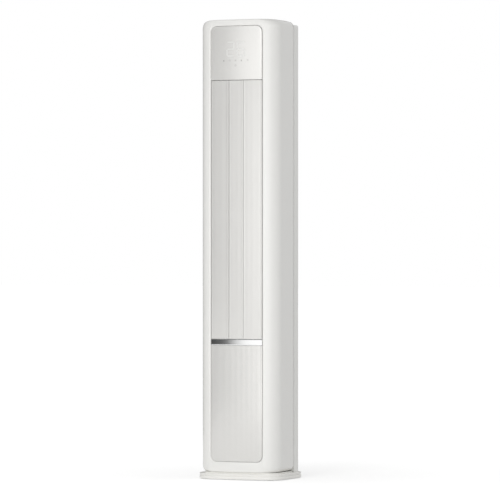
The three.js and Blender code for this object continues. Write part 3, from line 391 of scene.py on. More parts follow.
# Vulcanised rubber of the feet and the cable gland: dark and dull with a faint bloom.
MOULDED_RUBBER = Finish(
    "moulded_rubber", "rubber", Surface.MOULDED, "2C2C2D", "353536",
    roughness=0.8, grain=1.4 * MM, relief=0.05 * MM, ior=1.52,
)
# Glass epoxy board under green solder mask, with its tracks standing up a little.
GLASS_EPOXY = Finish(
    "glass_epoxy", "board", Surface.LAMINATED, "1F5A3C", "3C8159",
    roughness=0.42, grain=7 * MM, relief=0.06 * MM, ior=1.55,
)
# Polyester net of the filters. Its real thread spacing of 0.7 mm is drawn at 3 mm.
POLYESTER_NET = Finish(
    "polyester_net", "grey_plastic", Surface.WOVEN, "55585B", "8A8D90",
    roughness=0.7, grain=3 * MM, relief=0.3 * MM,
)
# Screen printed ink of the touch icons: mid grey, flat, with the mesh's slight unevenness.
PRINTED_INK = Finish(
    "printed_ink", "dark_plastic", Surface.PRINTED, "8F8F8C", "9A9A97",
    roughness=0.55, grain=1 * MM, relief=0.005 * MM,
)
# Milky diffuser film of the digits: even and matt, so that they stand out only faintly from the
# pearl panel while the display is off.
DIFFUSER_FILM = Finish(
    "diffuser_film", "gloss_white", Surface.PRINTED, "EAEAE7", "E6E6E3",
    roughness=0.4, grain=2 * MM, relief=0.005 * MM,
)


# ---- Making meshes -----------------------------------------------------------

# The angles, in degrees, past which an edge stays sharp: on moulded pieces, on printed and flat
# ones, on the cover's long shell and on the nodes that stay as they are.
MOULDED_CREASE = 40.0
PLAIN_CREASE = 35.0
SHELL_CREASE = 50.0
CAD_CREASE = 32.0
# Points of a kept node that lie this close are welded, so that it can be shaded smooth.
WELD_REACH = 0.01 * MM
# The least corner of a block, so that its outline never folds.
LEAST_CORNER = 0.05 * MM


def spread(start: float, end: float, steps: int) -> list[float]:
    """Even steps from start to end, with both ends.

    Args:
        start: The first value.
        end: The last value.
        steps: How many intervals lie between them.

    Returns:
        The values, one more than there are steps.
    """
    return [start + (end - start) * i / steps for i in range(steps + 1)]


def polar(radius: float, degrees: float, centre: Flat = (0.0, 0.0)) -> Flat:
    """A point round a centre.

    Args:
        radius: Its distance from the centre.
        degrees: Its angle, anticlockwise from the first axis.
        centre: The centre.

    Returns:
        The point.
    """
    turn = math.radians(degrees)
    return (centre[0] + radius * math.cos(turn), centre[1] + radius * math.sin(turn))


def arc(centre: Flat, radius: float, start: float, end: float, steps: int) -> list[Flat]:
    """Points on an arc in a plane.

    Args:
        centre: The arc's centre.
        radius: Its radius.
        start: Its first angle, in degrees.
        end: Its last angle, in degrees.
        steps: How many pieces it is cut into.

    Returns:
        The points, with both ends.
    """
    return [polar(radius, degrees, centre) for degrees in spread(start, end, steps)]


def disc(centre: Flat, radius: float, steps: int = 24) -> list[Flat]:
    """A circle's points, anticlockwise, each once."""
    return arc(centre, radius, 0, 360, steps)[:-1]


def rounded_off(radius: float, rise: float) -> float:
    """How much a quarter round takes off a side that it turns away from.

    Args:
        radius: The round's radius.
        rise: How far past the round's start, along that side.

    Returns:
        The distance, 0 before the round starts.
    """
    return radius - math.sqrt(max(0.0, radius ** 2 - rise ** 2)) if rise > 0 else 0.0


def rounded_box(
    x0: float, x1: float, z0: float, z1: float, radius: float, steps: int = 8,
) -> list[Flat]:
    """A rectangle with round corners, anticlockwise from its lower right.

    Args:
        x0: Left side.
        x1: Right side.
        z0: Bottom.
        z1: Top.
        radius: Radius of all four corners.
        steps: Steps of each corner.

    Returns:
        The outline's points, each once.
    """
    corners = [
        ((x1 - radius, z0 + radius), -90), ((x1 - radius, z1 - radius), 0),
        ((x0 + radius, z1 - radius), 90), ((x0 + radius, z0 + radius), 180),
    ]
    return [p for centre, start in corners for p in arc(centre, radius, start, start + 90, steps)]


@dataclass
class Skin:
    """A mesh in the making.

    Attributes:
        points: Its vertices, in the object's frame.
        faces: Its faces, as places in the list of points.
    """

    points: list[Point] = field(default_factory=list)
    faces: list[tuple[int, ...]] = field(default_factory=list)

    def ring(self, ring: Sequence[Point]) -> list[int]:
        """Adds a row of points.

        Args:
            ring: The points.

        Returns:
            Their places in the list.
        """
        start = len(self.points)
        self.points.extend(ring)
        return list(range(start, start + len(ring)))

    def bridge(self, first: Sequence[int], second: Sequence[int], closed: bool) -> None:
        """Joins two rows of as many points with quads.

        Args:
            first: One row.
            second: The next row.
            closed: Whether the rows run all the way round.
        """
        count = len(first)
        for i in range(count if closed else count - 1):
            j = (i + 1) % count
            self.faces.append((first[i], first[j], second[j], second[i]))

    def loft(self, rings: Sequence[Ring], closed: bool = True, capped: bool = True) -> None:
        """Adds a body that runs through a row of rings.

        Args:
            rings: The rings, each with as many points.
            closed: Whether each ring runs all the way round.
            capped: Whether the first and the last ring are filled.
        """
        rows = [self.ring(ring) for ring in rings]
        for first, second in zip(rows, rows[1:]):
            self.bridge(first, second, closed)
        if capped:
            self.faces.append(tuple(reversed(rows[0])))
            self.faces.append(tuple(rows[-1]))

    def prism(
        self, outline: Sequence[Flat], low: float, high: float, axis: str = "Z", soft: float = 0.0,
    ) -> None:
        """Adds an outline that is drawn out along an axis, with softened ends.

        Args:
            outline: Points in the plane across the axis: XY, XZ or YZ.
            low: Where it starts along the axis.
            high: Where it ends.
            axis: "X", "Y" or "Z".
            soft: How far the edges of both ends are drawn in.
        """
        place: dict[str, Callable[[Flat, float], Point]] = {
            "X": lambda p, h: (h, p[0], p[1]),
            "Y": lambda p, h: (p[0], h, p[1]),
            "Z": lambda p, h: (p[0], p[1], h),
        }
        levels = [(low, soft), (high, soft)]
        if soft:
            levels[1:1] = [(low + soft, 0.0), (high - soft, 0.0)]
        rings = [[place[axis](p, h) for p in inset(outline, d)] for h, d in levels]
        # Along Y the rings run the other way round, so they are taken from the far end.
        self.loft(rings[::-1] if axis == "Y" else rings)

    def block(self, low: Point, high: Point, soft: float = 0.0) -> None:
        """Adds a box with softened edges.

        Args:
            low: Its lowest corner.
            high: Its highest corner.
            soft: How far its edges are broken.
        """
        corner = max(soft, LEAST_CORNER)
        outline = rounded_box(low[0], high[0], low[1], high[1], corner, 1)
        self.prism(outline, low[2], high[2], soft=soft)


def inset(outline: Sequence[Flat], distance: float) -> list[Flat]:
    """Draws a closed outline in by a small distance.

    Args:
        outline: Its points, anticlockwise.
        distance: How far it moves inwards.

    Returns:
        As many points.
    """
    if not distance:
        return list(outline)
    count = len(outline)
    moved = []
    for i, (x, y) in enumerate(outline):
        before, after = Vector(outline[i - 1]), Vector(outline[(i + 1) % count])
        along = (after - before).normalized()
        moved.append((x - along.y * distance, y + along.x * distance))
    return moved


def place_mesh(name: str, skin: Skin, material: bpy.types.Material) -> bpy.types.Object:
    """Puts a skin into the scene as a mesh.

    Args:
        name: The object's name.
        skin: Its points and faces.
        material: Its material.

    Returns:
        The object.
    """
    mesh = bpy.data.meshes.new(name)
    mesh.from_pydata(skin.points, [], skin.faces)
    mesh.validate()
    mesh.materials.append(material)
    placed = bpy.data.objects.new(name, mesh)
    bpy.context.scene.collection.objects.link(placed)
    return placed


def make_piece(
    name: str, skin: Skin, finish: Finish, body: str, stands_for: Sequence[str] = (),
    wall: float = 0.0, crease: float = MOULDED_CREASE,
) -> None:
    """Turns a skin into a piece that rides on a body.

    Args:
        name: The piece's name.
        skin: Its points and faces.
        finish: Its finish.
        body: The body that it moves with.
        stands_for: The nodes that it replaces.
        wall: The wall that an open skin gets on its inner side.
        crease: The angle past which an edge stays sharp, in degrees.
    """
    piece = place_mesh(name, skin, finish.build())
    if wall:
        thick = piece.modifiers.new("wall", "SOLIDIFY")
        thick.thickness = wall
        thick.offset = -1
        thick.use_even_offset = True
    piece.data.shade_smooth()
    piece.data.set_sharp_from_angle(angle=math.radians(crease))
    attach(piece, body)
    if stands_for:
        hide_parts(*stands_for)
    LOG.info("%s: %d faces on %s, in %s", name, len(skin.faces), body, finish.name)


def smoothing() -> bpy.types.NodeTree:
    """The modifier tree that shades a kept node smooth, except over its creases.

    Returns:
        The geometry node tree.
    """
    known = bpy.data.node_groups.get("smooth_by_angle")
    if known:
        return known
    tree = bpy.data.node_groups.new("smooth_by_angle", "GeometryNodeTree")
    tree.interface.new_socket("Geometry", in_out="INPUT", socket_type="NodeSocketGeometry")
    tree.interface.new_socket("Geometry", in_out="OUTPUT", socket_type="NodeSocketGeometry")
    start = add_node(tree, "NodeGroupInput")
    angle = add_node(tree, "GeometryNodeInputMeshEdgeAngle")
    sharp = add_node(
        tree, "FunctionNodeCompare", {"operation": "GREATER_THAN"},
        {1: math.radians(CAD_CREASE)}, {0: angle.outputs["Unsigned Angle"]},
    )
    smooth = add_node(
        tree, "GeometryNodeSetShadeSmooth", {"domain": "FACE"}, {"Shade Smooth": True},
        {"Geometry": start.outputs[0]},
    )
    edges = add_node(
        tree, "GeometryNodeSetShadeSmooth", {"domain": "EDGE"}, {"Shade Smooth": False},
        {"Geometry": smooth.outputs[0], "Selection": sharp.outputs[0]},
    )
    add_node(tree, "NodeGroupOutput", links={0: edges.outputs[0]})
    return tree


def dress(finish: Finish, *nodes: str) -> None:
    """Gives nodes that stay in view their finish and soft shading.

    Args:
        finish: Their finish.
        nodes: Their names.
    """
    for node in nodes:
        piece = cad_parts[node]
        piece.data.materials.clear()
        piece.data.materials.append(finish.build())
        weld = piece.modifiers.new("weld", "WELD")
        weld.merge_threshold = WELD_REACH
        soft = piece.modifiers.new("smooth", "NODES")
        soft.node_group = smoothing()
        LOG.info("%s: kept as it is, in %s", node, finish.name)


# ---- The column's plan -------------------------------------------------------


@dataclass(frozen=True)
class ColumnPlan:
    """The column seen from above: a bowed front, round corners and flat sides.

    A place on it is its distance along the outline from the middle of the front, to the right.

    Attributes:
        width: Across the sides.
        front: Where the front's middle lies along Y.
        back: Where the back lies along Y.
        bow_radius: Radius of the bowed front.
        front_corner: Radius of the front corners.
        back_corner: Radius of the back corners.
    """

    width: float
    front: float
    back: float
    bow_radius: float = 925 * MM
    front_corner: float = 65 * MM
    back_corner: float = 38 * MM

    @property
    def bow_centre(self) -> float:
        """Where the bow's centre lies along Y."""
        return self.front + self.bow_radius

    @property
    def bow_turn(self) -> float:
        """The angle at which the bow meets a corner."""
        reach = self.bow_radius - self.front_corner
        return math.asin((self.width / 2 - self.front_corner) / reach)

    @property
    def corner_centre(self) -> Flat:
        """The centre of the right front corner."""
        inwards = (self.bow_radius - self.front_corner) * math.cos(self.bow_turn)
        return (self.width / 2 - self.front_corner, self.bow_centre - inwards)

    @property
    def corner_start(self) -> float:
        """Place at which the right front corner starts."""
        return self.bow_radius * self.bow_turn

    @property
    def side_start(self) -> float:
        """Place at which the flat side starts."""
        return self.corner_start + self.front_corner * (math.pi / 2 - self.bow_turn)

    def bowed_y(self, x: float, setback: float = 0.0) -> float:
        """Where the bow lies along Y.

        Args:
            x: Place across the column.
            setback: How far behind the column's own bow.

        Returns:
            The place along Y.
        """
        return self.bow_centre - math.sqrt((self.bow_radius - setback) ** 2 - x * x)

    def place_of(self, y: float) -> float:
        """The place along the outline at which the flat side reaches y."""
        return self.side_start + y - self.corner_centre[1]

    def at(self, place: float, setback: float = 0.0) -> tuple[Flat, Flat]:
        """A point of the outline and its outward direction.

        Args:
            place: Distance from the middle of the front, negative to the left.
            setback: How far the outline is drawn in.

        Returns:
            The point, and the unit vector that points away from the column.
        """
        along, side = abs(place), math.copysign(1.0, place)
        if along <= self.corner_start:
            turn, radius, centre = along / self.bow_radius, self.bow_radius, (0.0, self.bow_centre)
        elif along <= self.side_start:
            turn = self.bow_turn + (along - self.corner_start) / self.front_corner
            radius, centre = self.front_corner, self.corner_centre
        else:
            y = self.corner_centre[1] + along - self.side_start
            return (side * (self.width / 2 - setback), y), (side, 0.0)
        out = (math.sin(turn), -math.cos(turn))
        x = centre[0] + (radius - setback) * out[0]
        return (side * x, centre[1] + (radius - setback) * out[1]), (side * out[0], out[1])

    def around(self, setback: float, corner_steps: int, bow_steps: int) -> list[Flat]:
        """The whole outline, anticlockwise from the front's left end.

        Args:
            setback: How far it is drawn in; below zero it stands out.
            corner_steps: Steps of each corner.
            bow_steps: Steps of the bowed front.

        Returns:
            Its points, each once.
        """
        turn = math.degrees(self.bow_turn)
        front, back = self.front_corner - setback, self.back_corner - setback
        side = self.width / 2 - self.back_corner
        high = self.back - self.back_corner
        cx, cy = self.corner_centre
        bow, bow_centre = self.bow_radius - setback, (0.0, self.bow_centre)
        return [
            *arc(bow_centre, bow, -90 - turn, -90 + turn, bow_steps),
            *arc((cx, cy), front, -90 + turn, 0, corner_steps)[1:],
            *arc((side, high), back, 0, 90, corner_steps),
            *arc((-side, high), back, 90, 180, corner_steps),
            *arc((-cx, cy), front, 180, 270 - turn, corner_steps)[:-1],
        ]


# ---- Front cover -------------------------------------------------------------

# Points count as level when their heights differ by no more than this.
LEVEL_WITHIN = 1e-9


@dataclass(frozen=True)
class Opening:
    """The tall opening in the front cover.

    Attributes:
        half_width: Half of its width across.
        bottom: Its lowest point.
        top: Its highest point.
        corner: Radius of its corners.
        bead: Radius of the rolled edge around it.
        bead_steps: Steps of the rolled edge.
        lip_back: Where its lip ends along Y.
        reveal: Gap between its lip and the panels in it.
    """

    half_width: float = 110 * MM
    bottom: float = 71 * MM
    top: float = 1774 * MM
    corner: float = 24 * MM
    bead: float = 8 * MM
    bead_steps: int = 7
    lip_back: float = -110 * MM
    reveal: float = 0.5 * MM


@dataclass(frozen=True)
class FrontCover:
    """The moulded shell that frames the whole front.

    Its skin is a row of loops. Each runs once round the opening, and they close in from the cover's
    own rim, round the corners and over the rolled edge, to the back of the opening's lip.

    Attributes:
        plan: The column's plan.
        opening: The opening in its front.
        bottom: Its lower edge.
        top: Its flat top.
        seam: Where it meets the rear housing along Y.
        wall: Its wall.
        edge_round: Radius along its top edge.
        foot_round: Radius along its bottom edge.
        top_corner: Radius of its upper corners seen from the front.
        bottom_corner: Radius of its lower corners seen from the front.
        flange: How far its bottom reaches in.
        corner_block: Size of the squared corners of its outer loops.
        housing_drop: How far the housing's top lies below its own.
        housing_corner: Radius of the housing's upper corners.
        strip_recess: How far the strip over the housing lies in front of the seam.
        edge_row: Where the row of faces ends that keeps the top and bottom edges crisp.
        top_row: Where the next row on the top ends.
        corner_steps: Steps of each corner of a loop.
        across_steps: Steps of a loop's level sides, which follow the bow.
        upright_steps: Steps of its upright sides.
        turning_rows: Loops between the opening and the flat sides.
        rounding_rows: Loops over the rounded top and bottom edges.
    """

    plan: ColumnPlan
    opening: Opening
    bottom: float = 29 * MM
    top: float = 1800 * MM
    seam: float = 58 * MM
    wall: float = 3 * MM
    edge_round: float = 6 * MM
    foot_round: float = 5 * MM
    top_corner: float = 30 * MM
    bottom_corner: float = 24 * MM
    flange: float = 30 * MM
    corner_block: float = 44 * MM
    housing_drop: float = 14 * MM
    housing_corner: float = 18 * MM
    strip_recess: float = 0.2 * MM
    edge_row: float = 2.5 * MM
    top_row: float = 6 * MM
    corner_steps: int = 24
    across_steps: int = 96
    upright_steps: int = 12
    turning_rows: int = 16
    rounding_rows: int = 8

    def reach(self, z: float) -> float:
        """Half of the shell's width at a height, as its upper and lower corners allow.

        Args:
            z: The height.

        Returns:
            The half width.
        """
        upper = rounded_off(self.top_corner, z - (self.top - self.top_corner))
        lower = rounded_off(self.bottom_corner, self.bottom + self.bottom_corner - z)
        return self.plan.width / 2 - upper - lower

    def setback(self, z: float) -> float:
        """How far the rounded top and bottom edges draw the plan in at a height.

        Args:
            z: The height.

        Returns:
            The distance.
        """
        upper = rounded_off(self.edge_round, z - (self.top - self.edge_round))
        lower = rounded_off(self.foot_round, self.bottom + self.foot_round - z)
        return upper + lower

    def surface(self, place: float, z: float, further: float = 0.0) -> Point:
        """A point of the outer surface.

        Args:
            place: Where along the plan, from the middle of the front.
            z: The height.
            further: How far the plan is drawn in beyond the rounded edges.

        Returns:
            The point.
        """
        (x, y), _ = self.plan.at(place, self.setback(z) + further)
        return (x * self.reach(z) / (self.plan.width / 2), y, z)

    def loop(
        self, half: float, low: float, high: float, corner: float, square: float,
    ) -> list[Flat]:
        """A loop round the opening, as places along the plan and heights.

        Args:
            half: How far it reaches to each side.
            low: Its lowest height.
            high: Its highest height.
            corner: Size of its corners.
            square: 0 for round corners, 1 for square ones, or a mix.

        Returns:
            Its points, anticlockwise seen from the front.
        """
        points: list[Flat] = []
        left, right, floor, head = corner - half, half - corner, low + corner, high - corner
        sides = [
            ((right, head), 0, self.across_steps), ((left, head), 90, self.upright_steps),
            ((left, floor), 180, self.across_steps), ((right, floor), 270, self.upright_steps),
        ]
        for i, (centre, start, steps) in enumerate(sides):
            for turn in spread(start, start + 90, self.corner_steps):
                dx, dz = polar(1.0, turn)
                size = corner * (1 / max(abs(dx), abs(dz))) ** square
                points.append((centre[0] + size * dx, centre[1] + size * dz))
            # The straight side that leads to the next corner.
            next_centre, next_start, _ = sides[(i + 1) % len(sides)]
            begin, end = points[-1], polar(corner, next_start, next_centre)
            run = zip(spread(begin[0], end[0], steps), spread(begin[1], end[1], steps))
            points.extend(list(run)[1:-1])
        return points

    def hole_place(self) -> float:
        """The place along the plan at which the opening's right side lies."""
        return self.plan.bow_radius * math.asin(self.opening.half_width / self.plan.bow_radius)

    def lip(self) -> list[Ring]:
        """The opening's lip and its rolled edge, from the outside in.

        Returns:
            Their rings.
        """
        hole = self.opening
        rings = []
        for turn in spread(90, 0, hole.bead_steps):
            across, up = polar(hole.bead, turn)
            out, depth = hole.bead - across, hole.bead - up
            loop = self.loop(
                self.hole_place() + out, hole.bottom - out, hole.top + out, hole.corner + out, 0.0,
            )
            points = [self.surface(*p) for p in loop]
            rings.append([(x, y + depth, z) for x, y, z in points])
        rings.append([(x, hole.lip_back, z) for x, _, z in rings[-1]])
        return rings

    def face(self) -> list[Ring]:
        """The outer surface, from the cover's rim in to the rolled edge.

        Returns:
            Its rings.
        """
        hole = self.opening
        side, rim = self.plan.side_start, self.plan.place_of(self.seam)
        shoulder, ankle = self.top - self.edge_round, self.bottom + self.foot_round
        inner = (self.hole_place() + hole.bead, hole.bottom - hole.bead, hole.top + hole.bead)
        start = hole.corner + hole.bead
        rings = []
        for t in spread(0, 1, self.turning_rows)[1:]:
            half, low, high = (a + (b - a) * t for a, b in zip(inner, (side, ankle, shoulder)))
            rings.append((half, low, high, start + (self.corner_block - start) * t, t))
        for t in spread(0, 1, self.rounding_rows)[1:]:
            lift = math.sin(math.pi / 2 * t)
            low, high = ankle - self.foot_round * lift, shoulder + self.edge_round * lift
            rings.append((side + (rim - side) * t, low, high, self.corner_block, 1.0))
        return [[self.surface(*p) for p in self.loop(*ring)] for ring in reversed(rings)]

    def close_end(self, skin: Skin, z: float, inward: Sequence[float], filled: bool) -> None:
        """Carries the outer loop's top or bottom side inwards, flat.

        Args:
            skin: The cover's skin, which starts with the outer loop.
            z: The side's height.
            inward: How far each further row is drawn in.
            filled: Whether the last row is filled from side to side.
        """
        rim = self.plan.place_of(self.seam)
        outer = self.outer_places()
        last = [i for i, p in enumerate(outer) if math.isclose(p[1], z, abs_tol=LEVEL_WITHIN)]
        places = [max(-rim, min(rim, outer[i][0])) for i in last]
        for distance in inward:
            here = skin.ring([self.surface(place, z, distance) for place in places])
            skin.bridge(here, last, closed=False)
            last = here
        low, high = 0, len(last) - 1
        while filled and high - low > 1:
            corners = (last[high], last[high - 1], last[low + 1], last[low])
            skin.faces.append(tuple(dict.fromkeys(corners)))
            low, high = low + 1, high - 1

    def outer_places(self) -> list[Flat]:
        """The cover's rim as places along the plan and heights."""
        rim = self.plan.place_of(self.seam)
        return self.loop(rim, self.bottom, self.top, self.corner_block, 1.0)

    def crown_strip(self, skin: Skin) -> None:
        """Adds the strip that closes the step between the cover's top and the lower housing.

        Args:
            skin: The cover's skin.
        """
        y = self.seam - self.strip_recess

        def arch(corner: float, top: float) -> Ring:
            """The inner edge of a shell over both of its upper corners."""
            side, height = self.plan.width / 2 - corner, top - corner
            right = arc((side, height), corner - self.wall, 0, 90, steps=16)
            left = arc((-side, height), corner - self.wall, 90, 180, steps=16)
            return [(x, y, z) for x, z in right + left]

        upper = skin.ring(arch(self.top_corner, self.top))
        lower = skin.ring(arch(self.housing_corner, self.top - self.housing_drop))
        skin.bridge(upper, lower, closed=False)

    def build(self) -> None:
        """Builds the shell in place of the CAD's cover."""
        skin = Skin()
        skin.loft(self.face() + self.lip(), capped=False)
        self.close_end(skin, self.top, (self.edge_row, self.top_row), filled=True)
        under = (self.edge_row, self.flange - self.foot_round)
        self.close_end(skin, self.bottom, under, filled=False)
        self.crown_strip(skin)
        make_piece(
            "front_cover_shell", skin, GLOSS_ABS, "cabinet", ["front_cover"],
            wall=self.wall, crease=SHELL_CREASE,
        )


# ---- Base --------------------------------------------------------------------


@dataclass(frozen=True)
class Base:
    """The spread base: a rounded bead, a groove, a slab, and the plinth under the cover.

    Attributes:
        plan: The column's plan.
        overhang: How far it stands out from the column.
        stand_out: How far the feet lift it.
        bead_top: Top of the bead.
        bead_round: Radius of the bead's edges.
        groove: Depth of the groove.
        slab_bottom: Bottom of the slab.
        slab_round: Radius of the slab's edges.
        top: Top of the slab.
        plinth_inset: How far the plinth stands in from the column.
        plinth_top: Top of the plinth.
        underside: How far the lowest ring is drawn in, under the bead.
        crisp: Width of the row that keeps the plinth's foot crisp.
        round_steps: Steps of each rounded edge.
        corner_steps: Steps of the plan's corners.
        bow_steps: Steps of the plan's bow.
    """

    plan: ColumnPlan
    overhang: float = 12 * MM
    stand_out: float = 1.5 * MM
    bead_top: float = 15 * MM
    bead_round: float = 4 * MM
    groove: float = 2.5 * MM
    slab_bottom: float = 18 * MM
    slab_round: float = 2.2 * MM
    top: float = 24 * MM
    plinth_inset: float = 8 * MM
    plinth_top: float = 28.7 * MM
    underside: float = 6 * MM
    crisp: float = 2 * MM
    round_steps: int = 5
    corner_steps: int = 20
    bow_steps: int = 56

    def band(self, low: float, high: float, radius: float) -> list[Flat]:
        """The profile of a band with rounded edges.

        Args:
            low: Its bottom.
            high: Its top.
            radius: Radius of its edges.

        Returns:
            Heights, each with how far the plan is drawn in.
        """
        foot = arc((0.0, low + radius), radius, -90, 0, self.round_steps)
        head = arc((0.0, high - radius), radius, 0, 90, self.round_steps)
        return [(z, radius - out - self.overhang) for out, z in foot + head]

    def build(self) -> None:
        """Builds the base plate and dresses the feet under it."""
        neck = self.groove - self.overhang
        levels = [
            (self.stand_out, self.underside - self.overhang),
            *self.band(self.stand_out, self.bead_top, self.bead_round),
            (self.bead_top, neck), (self.slab_bottom, neck),
            *self.band(self.slab_bottom, self.top, self.slab_round),
            (self.top, self.plinth_inset - self.crisp), (self.top, self.plinth_inset),
            (self.plinth_top, self.plinth_inset),
        ]
        skin = Skin()
        skin.loft([
            [(x, y, z) for x, y in self.plan.around(setback, self.corner_steps, self.bow_steps)]
            for z, setback in levels
        ])
        make_piece("base_moulding", skin, BASE_POLYSTYRENE, "cabinet", ["base_plate"])
        dress(
            MOULDED_RUBBER,
            "foot_front_left", "foot_front_right", "foot_back_left", "foot_back_right",
        )


# ---- Panels that follow the bow ----------------------------------------------

# Cuts of a panel that agree to this many digits of a metre are one.
STATION_DIGITS = 7


@dataclass(frozen=True)
class Flutes:
    """Fine upright grooves in a panel's face, shallower than the solids' to shade softly.

    Attributes:
        pitch: Distance between them.
        depth: Their depth.
        left: Plain margin at the left.
        right: Plain margin at the right.
    """

    pitch: float = 5.2 * MM
    depth: float = 0.4 * MM
    left: float = 5 * MM
    right: float = 5 * MM


@dataclass(frozen=True)
class Panel:
    """A panel whose face follows the column's bow, with softened edges.

    Attributes:
        plan: The column's plan.
        x0: Its left end.
        x1: Its right end.
        z0: Its bottom.
        z1: Its top.
        setback: How far its face lies behind the bow.
        wall: Its thickness.
        soft: Radius of its face's edges.
        top_corner: Radius of its upper corners.
        bottom_corner: Radius of its lower corners.
        flutes: The grooves in its face, if any.
        step: Distance between the cuts across a plain face.
        flute_steps: Cuts to each groove.
        edge_steps: Steps of the face's edges.
        corner_steps: Steps of its corners.
    """

    plan: ColumnPlan
    x0: float
    x1: float
    z0: float
    z1: float
    setback: float
    wall: float = 3 * MM
    soft: float = 0.8 * MM
    top_corner: float = 0.0
    bottom_corner: float = 0.0
    flutes: Flutes | None = None
    step: float = 5 * MM
    flute_steps: int = 6
    edge_steps: int = 4
    corner_steps: int = 12

    def sink(self, x: float) -> float:
        """How far the face lies behind its own bow, at its edges and in its grooves.

        Args:
            x: The place across.

        Returns:
            The distance.
        """
        edge = min(x - self.x0, self.x1 - x)
        sunk = rounded_off(self.soft, self.soft - edge)
        if self.flutes:
            start, end = self.x0 + self.flutes.left, self.x1 - self.flutes.right
            if start < x < end:
                count = max(1, round((end - start) / self.flutes.pitch))
                phase = (x - start) / (end - start) * count
                sunk += self.flutes.depth * (1 - math.cos(2 * math.pi * phase)) / 2
        return sunk

    def stations(self) -> list[float]:
        """The places across at which the panel is cut.

        Returns:
            Their X, from left to right.
        """
        near = []
        for radius, steps in (
            (self.soft, self.edge_steps), (self.top_corner, self.corner_steps),
            (self.bottom_corner, self.corner_steps),
        ):
            near += [radius - polar(radius, turn)[0] for turn in spread(0, 90, steps)]
        start, end, step = self.x0 + self.soft, self.x1 - self.soft, self.step
        if self.flutes:
            start, end = self.x0 + self.flutes.left, self.x1 - self.flutes.right
            step = self.flutes.pitch / self.flute_steps
        places = spread(start, end, max(1, round((end - start) / step)))
        for distance in near:
            places += [self.x0 + distance, self.x1 - distance]
        return sorted({round(x, STATION_DIGITS) for x in places})

    def ring(self, x: float) -> Ring:
        """The panel's section at x.

        Args:
            x: The place across.

        Returns:
            Its points, anticlockwise seen from the right.
        """
        edge = min(x - self.x0, self.x1 - x)
        low = self.z0 + rounded_off(self.bottom_corner, self.bottom_corner - edge)
        high = self.z1 - rounded_off(self.top_corner, self.top_corner - edge)
        front = self.plan.bowed_y(x, self.setback) + self.sink(x)
        back = self.plan.bowed_y(x, self.setback + self.wall)
        quarter = arc((0.0, 0.0), self.soft, 0, 90, steps=3)
        rim = [(self.soft - dy, self.soft - dz) for dz, dy in quarter]
        upper = [(front + dy, high - dz) for dy, dz in rim]
        lower = [(front + dy, low + dz) for dy, dz in reversed(rim)]
        return [(x, y, z) for y, z in (*upper, *lower, (back, low), (back, high))]

    def skin(self) -> Skin:
        """The panel as a new skin."""
        made = Skin()
        made.loft([self.ring(x) for x in self.stations()])
        return made


class Icon(Enum):
    """The plain touch icons, by what they switch."""

    DROP = "drying"
    BLADES = "fan"
    BARS = "swing"
    MOON = "sleep"
    CLOCK = "timer"
    POWER = "power"

    def outlines(self) -> list[list[Flat]]:
        """Draws the icon about its centre.

        Returns:
            Its closed outlines, in millimetres.
        """
        def band(radius: float, width: float, start: float, end: float) -> list[Flat]:
            """A curved stroke about the centre."""
            inner = arc((0, 0), radius - width, end, start, steps=20)
            return arc((0, 0), radius, start, end, steps=20) + inner

        def bar(x: float, z0: float, z1: float, width: float) -> list[Flat]:
            """An upright stroke with nearly round ends."""
            return rounded_box(x - width / 2, x + width / 2, z0, z1, 0.4 * width, steps=3)

        if self is Icon.DROP:
            return [arc((0, -0.8), 2.4, 150, 390, 20) + [(0.0, 3.6)]]
        if self is Icon.BLADES:
            return [arc(polar(1.9, a), 1.5, a - 100, a + 100, 12) for a in (90, 210, 330)]
        if self is Icon.BARS:
            return [bar(x, -3.2, 3.2, 0.9) for x in (-2.6, 0.0, 2.6)]
        if self is Icon.MOON:
            return [arc((0, 0), 3.2, 75, 320, 24) + arc((1.3, 1.1), 2.5, -55, -250, 18)]
        if self is Icon.CLOCK:
            return [band(3.3, 0.7, 0, 359), bar(0, -0.3, 2.1, 0.6)]
        return [band(3.3, 0.8, 125, 415), bar(0, 0.6, 4.0, 0.8)]


